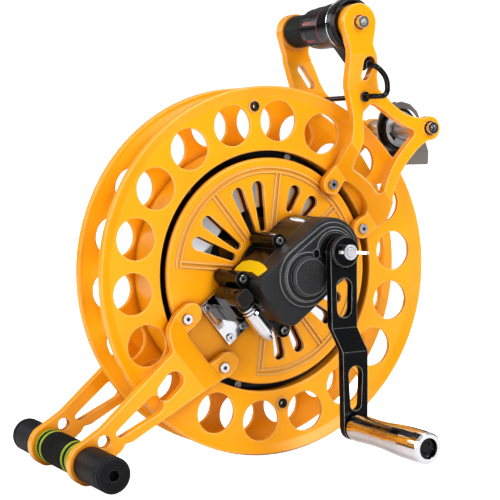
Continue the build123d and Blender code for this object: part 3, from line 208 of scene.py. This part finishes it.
def node(tree, kind, links=(), **settings):
    """Node with its settings, and with sockets linked or set by name or number."""
    made = tree.nodes.new(kind)
    for key, value in settings.items():
        setattr(made, key, value)
    for socket, source in dict(links).items():
        if hasattr(source, "is_output"):
            tree.links.new(source, made.inputs[socket])
        else:
            made.inputs[socket].default_value = source
    return made


def maths(tree, operation, a, b=0.0, c=0.0, clamp=False):
    """One step of arithmetic on values of the surface."""
    step = node(tree, "ShaderNodeMath", {0: a, 1: b, 2: c}, operation=operation, use_clamp=clamp)
    return step.outputs[0]


def spread(tree, value, low, high, to_low=0.0, to_high=1.0):
    """Stretch a value from one span to another, and keep it inside."""
    step = node(tree, "ShaderNodeMapRange", {
        "Value": value,
        "From Min": low,
        "From Max": high,
        "To Min": to_low,
        "To Max": to_high,
    })
    return step.outputs["Result"]


FLOAT = "NodeSocketFloat"

# %% Edge mask
edge_group, edge_in, edge_out = new_group(
    "edge mask",
    (("Width", FLOAT, 0.0008), ("Strength", FLOAT, 1.0), ("Breakup", FLOAT, 0.15)),
    (("Mask", FLOAT), ("Normal", "NodeSocketVector")),
)
t = edge_group
round_edge = node(t, "ShaderNodeBevel", {"Radius": edge_in.outputs["Width"]}, samples=4)
true_face = node(t, "ShaderNodeNewGeometry")
agree = node(t, "ShaderNodeVectorMath", {
    0: round_edge.outputs["Normal"],
    1: true_face.outputs["Normal"],
}, operation="DOT_PRODUCT")
bend = spread(t, maths(t, "SUBTRACT", 1.0, agree.outputs["Value"]), low=0.015, high=0.22)
place = node(t, "ShaderNodeTexCoord")
patch = node(t, "ShaderNodeTexNoise", {
    "Vector": place.outputs["Object"], "Scale": 160.0, "Detail": 3.0,
})
loss = maths(t, "MULTIPLY", patch.outputs["Fac"], edge_in.outputs["Breakup"])
kept = maths(t, "SUBTRACT", bend, loss, clamp=True)
# The pale edge colour laid by this mask is a painted highlight, partly edge wear.
highlight_and_wear_mask = maths(t, "MULTIPLY", kept, edge_in.outputs["Strength"])
t.links.new(highlight_and_wear_mask, edge_out.inputs["Mask"])
t.links.new(round_edge.outputs["Normal"], edge_out.inputs["Normal"])
print(edge_group.name, "with", len(t.nodes), "nodes")

# %% Grain
grain_group, grain_in, grain_out = new_group(
    "fine grain",
    (("Scale", FLOAT, 900.0), ("Roughness", FLOAT, 0.6)),
    (("Height", FLOAT), ("Shade", FLOAT)),
)
t = grain_group
place = node(t, "ShaderNodeTexCoord")
pores = node(t, "ShaderNodeTexNoise", {
    "Vector": place.outputs["Object"],
    "Scale": grain_in.outputs["Scale"],
    "Detail": 4.0,
    "Roughness": grain_in.outputs["Roughness"],
})
cells = node(t, "ShaderNodeTexVoronoi", {
    "Vector": place.outputs["Object"],
    "Scale": grain_in.outputs["Scale"],
})
cell_share = 0.5
mixed = maths(t, "MULTIPLY_ADD", cells.outputs["Distance"], cell_share, pores.outputs["Fac"])
t.links.new(mixed, grain_out.inputs["Height"])
t.links.new(spread(t, pores.outputs["Fac"], low=0.3, high=0.7), grain_out.inputs["Shade"])
print(grain_group.name, "with", len(t.nodes), "nodes")

# %% Scuffs
scuff_group, scuff_in, scuff_out = new_group(
    "thin scuffs",
    (("Scale", FLOAT, 60.0), ("Amount", FLOAT, 0.3), ("Turn", FLOAT, 0.5)),
    (("Mask", FLOAT),),
)
t = scuff_group
place = node(t, "ShaderNodeTexCoord")
turn_about_x, turn_about_z = 1.7, 0.6
scuff_stretch = 26.0
angle = node(t, "ShaderNodeCombineXYZ", {
    "X": maths(t, "MULTIPLY", scuff_in.outputs["Turn"], turn_about_x),
    "Y": scuff_in.outputs["Turn"],
    "Z": maths(t, "MULTIPLY", scuff_in.outputs["Turn"], turn_about_z),
})
laid = node(t, "ShaderNodeMapping", {
    "Vector": place.outputs["Object"],
    "Rotation": angle.outputs["Vector"],
    "Scale": (1.0, scuff_stretch, scuff_stretch),
})
streaks = node(t, "ShaderNodeTexNoise", {
    "Vector": laid.outputs["Vector"],
    "Scale": scuff_in.outputs["Scale"],
    "Detail": 2.0,
    "Distortion": 0.4,
})
places = node(t, "ShaderNodeTexNoise", {"Vector": place.outputs["Object"], "Scale": 22.0})
lines = spread(t, streaks.outputs["Fac"], low=0.64, high=0.70)
where_worn = spread(t, places.outputs["Fac"], low=0.45, high=0.62)
some = maths(t, "MULTIPLY", maths(t, "MULTIPLY", lines, where_worn), scuff_in.outputs["Amount"])
t.links.new(some, scuff_out.inputs["Mask"])
print(scuff_group.name, "with", len(t.nodes), "nodes")

# %% Painted corner shade
painted_shade_group, painted_shade_in, painted_shade_out = new_group(
    "painted corner shade",
    (("Reach", FLOAT, 0.004), ("Amount", FLOAT, 0.6)),
    (("Mask", FLOAT),),
)
t = painted_shade_group
nearby = node(t, "ShaderNodeAmbientOcclusion", {
    "Distance": painted_shade_in.outputs["Reach"],
}, samples=6)
# This mask is painted shade: it darkens a finish where nearby faces hide it, in corners, recesses
# and screw sockets.
painted_shade_depth = spread(t, nearby.outputs["AO"], low=0.35, high=0.85, to_low=1.0, to_high=0.0)
t.links.new(maths(t, "MULTIPLY", painted_shade_depth, painted_shade_in.outputs["Amount"]), painted_shade_out.inputs["Mask"])
print(painted_shade_group.name, "with", len(t.nodes), "nodes")

# %% Clouds
cloud_group, cloud_in, cloud_out = new_group(
    "slow clouds",
    (("Scale", FLOAT, 14.0), ("Low", FLOAT, 0.3), ("High", FLOAT, 0.4)),
    (("Value", FLOAT), ("Mask", FLOAT)),
)
t = cloud_group
place = node(t, "ShaderNodeTexCoord")
drift = node(t, "ShaderNodeTexNoise", {
    "Vector": place.outputs["Object"],
    "Scale": cloud_in.outputs["Scale"],
    "Detail": 5.0,
    "Roughness": 0.55,
})
soft = spread(t, drift.outputs["Fac"], low=0.32, high=0.68)
span = maths(t, "SUBTRACT", cloud_in.outputs["High"], cloud_in.outputs["Low"])
level = maths(t, "MULTIPLY_ADD", soft, span, cloud_in.outputs["Low"])
t.links.new(level, cloud_out.inputs["Value"])
t.links.new(soft, cloud_out.inputs["Mask"])
print("shared effects", len(bpy.data.node_groups))

# %% [markdown]
# ## One builder for the finishes
# Every finish here is some base colour, an edge with wear and a painted highlight, painted shade
# in hollows, a grain and a varying gloss.
# Each could be wired by hand. One function lays those out with its own values for each
# instead, so that a finish reads as a short list of what makes it different. The shader itself
# stays in the material, where the export can read it.


# %% Finish helpers
def blended(tree, share, first, second):
    """Mix of two colours, where each is a plain colour or another node's output."""
    ends = [end if hasattr(end, "is_output") else (*end, 1.0) for end in (first, second)]
    sockets = {"Factor": share, "A": ends[0], "B": ends[1]}
    return node(tree, "ShaderNodeMix", sockets, data_type="RGBA").outputs["Result"]


def effect(tree, group, **values):
    """Shared effect placed in a material with its own values."""
    placed = node(tree, "ShaderNodeGroup", {}, node_tree=group)
    for name, value in values.items():
        placed.inputs[name].default_value = value
    return placed.outputs


# %% Finish builder
def finish(
    # The edge colour and its strength paint a pale highlight on edges, partly edge wear; the
    # corner values paint shade into hollows.
    name, colour, shade, edge, metal=0.0, gloss=(0.3, 0.4), edge_width=0.0006, edge_highlight_and_wear=0.3,
    grain=900.0, grain_depth=0.00002, cloud=14.0, cloud_share=0.5, speckle=0.18,
    scuffs=0.2, turn=0.5, corner=0.5, painted_shade_reach=0.003, painted_shade_colour=(0.0, 0.0, 0.0),
    ribs=0.0, rib_depth=0.0, coat=0.0, coat_gloss=0.1, specular=0.5,
):
    """Material from a colour, its darker clouds, its edges with wear and a painted highlight, its
    painted shade in hollows, its grain and its gloss.
    """
    made = bpy.data.materials.new(name)
    made.use_nodes = True
    t = made.node_tree
    t.nodes.clear()
    clouds = effect(t, cloud_group, Scale=cloud, Low=gloss[0], High=gloss[1])
    edges = effect(t, edge_group, Width=edge_width, Strength=edge_highlight_and_wear)
    pores = effect(t, grain_group, Scale=grain)
    marks = effect(t, scuff_group, Amount=scuffs, Turn=turn)
    corners = effect(t, painted_shade_group, Amount=corner, Reach=painted_shade_reach)
    paint = blended(t, maths(t, "MULTIPLY", clouds["Mask"], cloud_share), colour, shade)
    paint = blended(t, maths(t, "MULTIPLY", pores["Shade"], speckle), paint, shade)
    paint = blended(t, marks["Mask"], paint, edge)
    # Painted highlight on edges, partly edge wear.
    paint = blended(t, edges["Mask"], paint, edge)
    # Painted shade in hollows.
    paint = blended(t, corners["Mask"], paint, painted_shade_colour)
    scuff_dulling = 0.25
    rough = maths(t, "MULTIPLY_ADD", marks["Mask"], scuff_dulling, clouds["Value"], clamp=True)
    height = pores["Height"]
    if ribs:
        place = node(t, "ShaderNodeTexCoord")
        rings = node(t, "ShaderNodeTexWave", {
            "Vector": place.outputs["Object"], "Scale": ribs,
        }, bands_direction="Y", wave_profile="SIN")
        height = maths(t, "MULTIPLY_ADD", rings.outputs["Fac"], rib_depth / grain_depth, height)
    bumped = node(t, "ShaderNodeBump", {
        "Height": height, "Normal": edges["Normal"], "Distance": grain_depth, "Strength": 1.0,
    })
    surface = node(t, "ShaderNodeBsdfPrincipled", {
        "Base Color": paint,
        "Roughness": rough,
        "Normal": bumped.outputs["Normal"],
        "Metallic": metal,
        "Coat Weight": coat,
        "Coat Roughness": coat_gloss,
        "Specular IOR Level": specular,
    })
    node(t, "ShaderNodeOutputMaterial", {"Surface": surface.outputs["BSDF"]})
    print("finish", name)
    return made


# %% Dressing
dressed = set()


def dress(material, *names):
    """Give a finish to carried-over pieces of the frame."""
    for name in names:
        piece = nodes[name]
        piece.data.materials.clear()
        piece.data.materials.append(material)
    dressed.update(names)
    print(material.name, "on", *names)


# %% [markdown]
# ## Golden orange plastic and paint
# The spool and hub covers are moulded plastic with a satin skin; the four arms are cast
# alloy with a thicker, glossier coat of the same hue. Both get a pale highlight painted on
# rounded edges, partly edge wear, and brown painted shade in hollows. One orange for all would do
# from afar, but two show what is moulded and what is cast. Slow clouds keep large faces from
# looking flat.

# %% Orange finishes
orange_plastic = finish(
    "orange_plastic", (0.93, 0.420, 0.009), (0.82, 0.290, 0.003), (1.0, 0.80, 0.42),
    gloss=(0.20, 0.30), edge_width=0.0018, edge_highlight_and_wear=0.95, grain=1400.0,
    grain_depth=0.000012, cloud=9.0, scuffs=0.08, cloud_share=0.6, specular=0.35,
    corner=0.9, painted_shade_reach=0.010, painted_shade_colour=(0.36, 0.075, 0.0005),
)
orange_coat = finish(
    "orange_coat", (0.94, 0.410, 0.009), (0.84, 0.290, 0.003), (1.0, 0.82, 0.45),
    gloss=(0.18, 0.28), edge_width=0.0020, edge_highlight_and_wear=1.0, grain=700.0,
    grain_depth=0.000016, cloud=11.0, scuffs=0.10, coat=0.08, coat_gloss=0.12,
    cloud_share=0.5, turn=1.1, specular=0.35,
    corner=0.9, painted_shade_reach=0.010, painted_shade_colour=(0.36, 0.075, 0.0005),
)
dress(orange_plastic, "spool_front_flange", "spool_back_flange", "spool_drum", "front_cover",
      "back_cover")
dress(orange_coat, "near_upper_arm", "far_upper_arm", "near_lower_arm", "far_lower_arm")

# %% [markdown]
# ## Blacks
# Seven blacks sit side by side, and only gloss and grain tell them apart: the glossy coat
# of the gear housing, the speckled dark grey of its cover, the satin coat of the crank
# arm, the moulded plastic of the twist grip, the cable's skin and the two rubbers. A pale
# highlight painted on their edges does more for them than light does, because black gives none
# back, and painted shade darkens their hollows.

# %% Black coats
black_gloss = finish(
    "black_gloss", (0.005, 0.0035, 0.003), (0.010, 0.006, 0.004), (0.30, 0.28, 0.26),
    gloss=(0.10, 0.20), edge_width=0.0009, edge_highlight_and_wear=0.8, grain=420.0,
    grain_depth=0.00004, cloud=18.0, scuffs=0.04, specular=0.28, corner=0.8,
)
cover_grey = finish(
    "cover_grey", (0.055, 0.055, 0.057), (0.004, 0.004, 0.0045), (0.85, 0.85, 0.86),
    gloss=(0.30, 0.42), edge_width=0.0010, edge_highlight_and_wear=1.0, grain=1100.0,
    grain_depth=0.00022, cloud=16.0, scuffs=0.0, specular=0.25, corner=1.0,
    painted_shade_reach=0.006, speckle=0.85, cloud_share=0.3,
)
satin_black = finish(
    "satin_black", (0.003, 0.003, 0.0035), (0.006, 0.006, 0.0065), (0.80, 0.80, 0.81),
    gloss=(0.16, 0.26), edge_width=0.0009, edge_highlight_and_wear=1.0, grain=1500.0,
    grain_depth=0.00002, cloud=20.0, scuffs=0.03, turn=1.4, specular=0.12, corner=0.9,
)

# %% Black plastics
plastic_black = finish(
    "plastic_black", (0.005, 0.005, 0.0055), (0.010, 0.0095, 0.010), (0.40, 0.40, 0.41),
    gloss=(0.14, 0.24), edge_width=0.0007, edge_highlight_and_wear=0.7, grain=1900.0,
    grain_depth=0.000025, cloud=24.0, scuffs=0.05, specular=0.32,
)
cable_black = finish(
    "cable_black", (0.003, 0.003, 0.0035), (0.006, 0.006, 0.0065), (0.05, 0.05, 0.052),
    gloss=(0.07, 0.13), edge_width=0.0005, edge_highlight_and_wear=0.2, grain=900.0,
    grain_depth=0.00001, cloud=30.0, scuffs=0.0, specular=0.3, corner=0.8,
)

# %% Black rubbers
rubber_black = finish(
    "rubber_black", (0.007, 0.007, 0.0075), (0.013, 0.013, 0.0135), (0.25, 0.25, 0.26),
    gloss=(0.38, 0.50), edge_width=0.0006, edge_highlight_and_wear=0.5, grain=1100.0,
    grain_depth=0.00006, cloud=30.0, scuffs=0.04, specular=0.22,
)
rubber_grey = finish(
    "rubber_grey", (0.010, 0.0105, 0.012), (0.006, 0.006, 0.007), (0.30, 0.30, 0.31),
    gloss=(0.38, 0.50), edge_width=0.0008, edge_highlight_and_wear=0.5, grain=1300.0,
    grain_depth=0.00005, cloud=26.0, scuffs=0.06, specular=0.18, ribs=130.0, rib_depth=0.0003,
    corner=1.0, painted_shade_reach=0.007,
)

# %% Blacks on their pieces
dress(black_gloss, "gearbox_body", "stop_block")
dress(cover_grey, "gearbox_cover")
dress(satin_black, "crank_arm", "crank_collars", "cable_fittings")
dress(plastic_black, "twist_barrel", "shifter_body", "back_cap", "spool_spider", "guide_roller")
dress(rubber_black, "handle_grip")
dress(cable_black, "brake_cable", "sheave_tyre", "knob_retainer")
dress(rubber_grey, "foot_grips", "foot_caps")

# %% [markdown]
# ## Metals
# Polished plate is nearly a mirror, broken by faint smudges. Nuts and bolt heads are less
# sharp, and socket screws get deep painted shade inside; every metal gets some painted shade in
# its hollows. Turned and brushed steel carries fine lines, made by stretching the scuffs far
# along one direction. A mirror with nothing in it looks grey, so the difference comes from the
# room's dark band and not from the colour.

# %% Chrome finishes
polished = finish(
    "polished_plate", (0.80, 0.80, 0.81), (0.55, 0.55, 0.57), (0.95, 0.95, 0.96), metal=1.0,
    gloss=(0.04, 0.10), edge_width=0.0005, edge_highlight_and_wear=0.4, grain=300.0,
    grain_depth=0.000006, cloud=30.0, scuffs=0.06, cloud_share=0.6,
    corner=0.97, painted_shade_reach=0.0022,
)
bright_chrome = finish(
    "bright_chrome", (0.88, 0.88, 0.89), (0.70, 0.70, 0.72), (0.97, 0.97, 0.98), metal=1.0,
    gloss=(0.18, 0.26), edge_width=0.0004, edge_highlight_and_wear=0.3, grain=300.0,
    grain_depth=0.000006, cloud=30.0, scuffs=0.04, corner=0.7, painted_shade_reach=0.0008,
)
socket_chrome = finish(
    "socket_chrome", (0.66, 0.66, 0.67), (0.50, 0.50, 0.52), (0.97, 0.97, 0.98), metal=1.0,
    gloss=(0.08, 0.16), edge_width=0.0005, edge_highlight_and_wear=0.8, grain=300.0,
    grain_depth=0.000006, cloud=30.0, scuffs=0.04, corner=1.0, painted_shade_reach=0.0040,
)

# %% Steel and alloy finishes
steel = finish(
    "brushed_steel", (0.47, 0.425, 0.385), (0.30, 0.27, 0.245), (0.75, 0.70, 0.66), metal=1.0,
    gloss=(0.24, 0.36), edge_width=0.0004, edge_highlight_and_wear=0.4, grain=800.0,
    grain_depth=0.00002, cloud=35.0, scuffs=0.4, corner=0.95, painted_shade_reach=0.003,
)
grey_alloy = finish(
    "machined_alloy", (0.60, 0.60, 0.61), (0.48, 0.48, 0.49), (0.80, 0.80, 0.81), metal=1.0,
    gloss=(0.30, 0.42), edge_width=0.0004, edge_highlight_and_wear=0.3, grain=1000.0,
    grain_depth=0.00002, cloud=35.0, scuffs=0.4, turn=0.9,
)

# %% Metals on their pieces
dress(polished, "crank_knob", "stop_plate", "stop_knob", "polished_ring", "guide_axle",
      "shifter_trim", "crank_shaft")
dress(bright_chrome, "handle_bolt", "axle_nuts", "crank_wing_nut")
dress(socket_chrome, "arm_screws", "gearbox_screws", "stop_plate_screws")
dress(steel, "spider_screws", "spool_shaft", "brake_pivot_pin", "main_bearings", "crank_gear",
      "spool_gear", "crank_bearings", "knob_spindle", "stop_spring",
      "foot_tube", "guide_guard")
dress(grey_alloy, "guide_sheave", "brake_drum", "brake_shoe", "handle_tube", "guide_spacers")

# %% [markdown]
# ## Small colours
# The red liner shows through the finger scoops, a plain yellow film sits on the side of
# the housing, and pairs of lime rings are let into the foam. The brake lining and the
# floor are finished here too. All are flat colours in life, so clouds and grain stay low.

# %% Small finishes
red_plastic = finish(
    "red_plastic", (0.30, 0.008, 0.008), (0.22, 0.005, 0.005), (0.60, 0.05, 0.04),
    gloss=(0.20, 0.30), grain=1500.0, scuffs=0.05,
)
yellow_film = finish(
    "yellow_film", (0.95, 0.68, 0.010), (0.90, 0.60, 0.008), (1.0, 0.85, 0.2),
    gloss=(0.25, 0.35), grain=1200.0, scuffs=0.05,
)
lime_band = finish(
    "lime_band", (0.52, 0.66, 0.03), (0.40, 0.55, 0.02), (0.7, 0.8, 0.15),
    gloss=(0.5, 0.65), grain=900.0, grain_depth=0.00005, scuffs=0.0,
)
lining_brown = finish(
    "lining_brown", (0.06, 0.045, 0.035), (0.03, 0.022, 0.018), (0.12, 0.10, 0.08),
    gloss=(0.7, 0.85), grain=700.0, grain_depth=0.0001,
)
# The floor keeps the default painted shade, which darkens it a little within a few millimetres of
# the winder.
floor_white = finish(
    "floor_white", (0.93, 0.93, 0.935), (0.91, 0.91, 0.915), (0.93, 0.93, 0.93),
    gloss=(0.7, 0.8), grain=60.0, grain_depth=0.00001, cloud=1.2, scuffs=0.0, specular=0.2,
)

# %% Small colours on their pieces
dress(red_plastic, "barrel_liner")
dress(yellow_film, "side_label")
dress(lime_band, "foam_stripes")
dress(lining_brown, "brake_lining")

# %% [markdown]
# ## White floor
# A paper sweep that runs far back turns grey where the lights don't reach it. More lights
# would flatten the winder. So the floor glows a little, only where the camera looks
# straight at it, and its bounced light stays natural. Its contact shadow comes from the lights,
# with a little painted shade added next to the winder.

# %% Floor glow
floor_glow = 0.80
sheet = floor_white.node_tree
floor_shader = next(part for part in sheet.nodes if part.type == "BSDF_PRINCIPLED")
floor_shader.inputs["Emission Color"].default_value = (1.0, 1.0, 1.0, 1.0)
straight = node(sheet, "ShaderNodeLightPath")
glowing = maths(sheet, "MULTIPLY", straight.outputs["Is Camera Ray"], floor_glow)
sheet.links.new(glowing, floor_shader.inputs["Emission Strength"])
floor.data.materials.append(floor_white)
print("floor glow", floor_glow)

# %% [markdown]
# ## Foam sleeve
# A foam sleeve is cut from a tube and pushed over the bar between the two legs. It swells
# a little between the rings that are let into it, is drawn in under each of them, and has
# soft shoulders at its cut ends. Foam on a tube doesn't drape, so cloth simulation would
# add nothing. A turned profile gives the shape, and a fixed noise presses shallow, uneven
# pores into the skin. The frame's plain tube is hidden, and the sleeve stands for it.


# %% Turned shapes
def turned(name, outline, centre, sides, body, material):
    """Closed outline of (distance, along) pairs turned about an axis along Y."""
    mesh = bpy.data.meshes.new(name)
    work = bmesh.new()
    rings = []
    for reach, along in outline:
        ring = []
        for number in range(sides):
            angle = 2 * math.pi * number / sides
            spot = (centre.x + reach * math.cos(angle), along, centre.z + reach * math.sin(angle))
            ring.append(work.verts.new(spot))
        rings.append(ring)
    for this, after in zip(rings, rings[1:] + rings[:1]):
        for number in range(sides):
            beside = (number + 1) % sides
            work.faces.new((this[number], this[beside], after[beside], after[number]))
    bmesh.ops.recalc_face_normals(work, faces=work.faces)
    for face in work.faces:
        face.smooth = True
    work.to_mesh(mesh)
    work.free()
    mesh.materials.append(material)
    piece = bpy.data.objects.new(name, mesh)
    bpy.context.scene.collection.objects.link(piece)
    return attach(piece, body)


# %% Foam sizes
foam_low, foam_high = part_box("foot_foam")
foam_axis = (foam_low + foam_high) / 2
foam_r = (foam_high.z - foam_low.z) / 2
stripe_spots = sorted({round(corner.co.y, 4) for corner in nodes["foam_stripes"].data.vertices})
print("foam sleeve", round(foam_r * 2000, 1), "mm thick,", len(stripe_spots), "stripe edges")

# %% Foam skin
foam_skin = finish(
    "foam_skin", (0.010, 0.0095, 0.009), (0.003, 0.003, 0.003), (0.05, 0.05, 0.05),
    gloss=(0.70, 0.85), edge_width=0.0006, edge_highlight_and_wear=0.2, grain=700.0,
    grain_depth=0.0002, cloud=40.0, scuffs=0.0, specular=0.15, corner=0.6,
)

# %% Foam outline
foam_bore = 0.0081
shoulder_depth, shoulder_reach = 0.0016, 0.0009
pinch_depth, pinch_reach = 0.00045, 0.0011
outline = []
steps = 110
for step in range(steps + 1):
    along = foam_low.y + (foam_high.y - foam_low.y) * step / steps
    to_end = min(along - foam_low.y, foam_high.y - along)
    to_stripe = min(abs(along - spot) for spot in stripe_spots)
    shoulder = shoulder_depth * math.exp(-to_end / shoulder_reach)
    pinch = pinch_depth * math.exp(-((to_stripe / pinch_reach) ** 2))
    outline.append((foam_r - shoulder - pinch, along))
outline += [(foam_bore, foam_high.y), (foam_bore, foam_low.y)]
print("foam outline,", len(outline), "points")

# %% Foam sleeve
sleeve = turned(
    "foam_sleeve", outline, foam_axis, sides=144, body="frame", material=foam_skin,
)
outer_skin = foam_r * 0.8
pore_depth, mean_dip = 0.00012, 0.6
coarse_pores, fine_pores, fine_share = 420.0, 900.0, 0.5
for corner in sleeve.data.vertices:
    out = Vector((corner.co.x - foam_axis.x, 0.0, corner.co.z - foam_axis.z))
    if out.length > outer_skin:
        coarse = noise.noise(corner.co * coarse_pores)
        pore = coarse + fine_share * noise.noise(corner.co * fine_pores)
        corner.co -= out.normalized() * pore_depth * (mean_dip + pore)
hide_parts("foot_foam")
print("foam sleeve,", len(sleeve.data.vertices), "points")

# %% [markdown]
# ## Line eyelets
# The line is tied to the spool through two small holes in the near flange. Each has a
# rolled metal eyelet, darkened with use, that keeps the line off the plastic's edge. A
# dark spot in the paint would do in one view. A turned section holds up from all sides.

# %% Eyelet section
eyelet_dark = finish(
    "eyelet_dark", (0.030, 0.026, 0.022), (0.010, 0.009, 0.008), (0.35, 0.32, 0.28), metal=0.6,
    gloss=(0.25, 0.35), edge_width=0.0004, edge_highlight_and_wear=0.5, grain=900.0, scuffs=0.1, corner=0.8,
)
eyelet_front = 0.03695
eyelet_end = eyelet_front + 0.0032
lip_foot = eyelet_front - 0.0002
lip_seat = eyelet_front + 0.0001
throat_r, barrel_r, lip_r = 0.0018, 0.0024, 0.0044
lip_middle, lip_half, lip_rise = 0.0031, 0.0013, 0.0009
lip_steps = 6
rolled = [(throat_r, eyelet_end), (throat_r, lip_foot)]
for part in range(lip_steps + 1):
    bend = math.pi * (1.0 - part / lip_steps)
    rolled.append((lip_middle + lip_half * math.cos(bend), lip_foot - lip_rise * math.sin(bend)))
rolled += [(lip_r, lip_seat), (barrel_r, lip_seat), (barrel_r, eyelet_end)]
print("eyelet section,", len(rolled), "points")

# %% Line eyelets
flange_low, flange_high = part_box("spool_front_flange")
spool_axis = (flange_low + flange_high) / 2
eyelet_spots = ((0.143, 95.3), (0.117, -84.7))
for number, (distance, heading) in enumerate(eyelet_spots):
    turned_by = math.radians(heading)
    spot = Vector((
        spool_axis.x + distance * math.cos(turned_by),
        0.0,
        spool_axis.z + distance * math.sin(turned_by),
    ))
    eyelet = turned(
        "line_eyelet_%d" % (number + 1), rolled, spot, sides=40, body="spool",
        material=eyelet_dark,
    )
    print(eyelet.name, "at", [round(value, 3) for value in spot])

# %% [markdown]
# ## Spring of the stop
# A compression spring pushes the stop's stem home, and closes up when the knob is pulled.
# A rigid spring would stay long and cut through the stem's collar. This one is wound
# here as a round wire along a helix at one fixed length, and does not follow the knob either.

# %% Spring sizes
stop_joint = next(joint for joint in frame["joints"] if joint["name"] == "stop_pull")
pull_axis = Vector(stop_joint["axis"]).normalized()
stop_mouth = Vector((-0.0424696, -0.00785, 0.1390424))
seat_depth = 0.0007
outer_seat = stop_mouth - pull_axis * seat_depth
coil_r, wire_r = 0.0036, 0.0005
coil_length, coil_pitch = 0.007, 0.0019
print("spring has", round(coil_length / coil_pitch, 1), "turns")

# %% Spring coil
beside = pull_axis.orthogonal().normalized()
across = pull_axis.cross(beside)
coil_steps = 130
wire_sides = 10
coil = bmesh.new()
rings = []
for step in range(coil_steps + 1):
    down = coil_length * step / coil_steps
    angle = 2 * math.pi * down / coil_pitch
    out = beside * math.cos(angle) + across * math.sin(angle)
    wire_middle = outer_seat - pull_axis * down + out * coil_r
    ring = []
    for number in range(wire_sides):
        lean = 2 * math.pi * number / wire_sides
        skin = (out * math.cos(lean) + pull_axis * math.sin(lean)) * wire_r
        ring.append(coil.verts.new(wire_middle + skin))
    rings.append(ring)
for this, after in zip(rings, rings[1:]):
    for number in range(wire_sides):
        beyond = (number + 1) % wire_sides
        coil.faces.new((this[number], this[beyond], after[beyond], after[number]))
coil.faces.new(rings[0])
coil.faces.new(list(reversed(rings[-1])))
bmesh.ops.recalc_face_normals(coil, faces=coil.faces)
for face in coil.faces:
    face.smooth = True
coil_mesh = bpy.data.meshes.new("stop_coil")
coil.to_mesh(coil_mesh)
coil.free()
coil_mesh.materials.append(steel)
print("spring coil,", len(coil_mesh.vertices), "points")

# %% Spring in its place
stop_coil = bpy.data.objects.new("stop_coil", coil_mesh)
bpy.context.scene.collection.objects.link(stop_coil)
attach(stop_coil, "frame")
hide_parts("stop_spring")
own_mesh(stop_coil)

# %% [markdown]
# ## Last look over
# Every carried-over piece should by now have one of the finishes above. The frame brings
# plain materials of its own, so a forgotten piece would still show a colour and could be
# missed by eye. The list names each piece that was never dressed: only the foam tube,
# which the sleeve stands for, belongs on it.

# %% Finish
print("without a finish:", [name for name in nodes if name not in dressed])
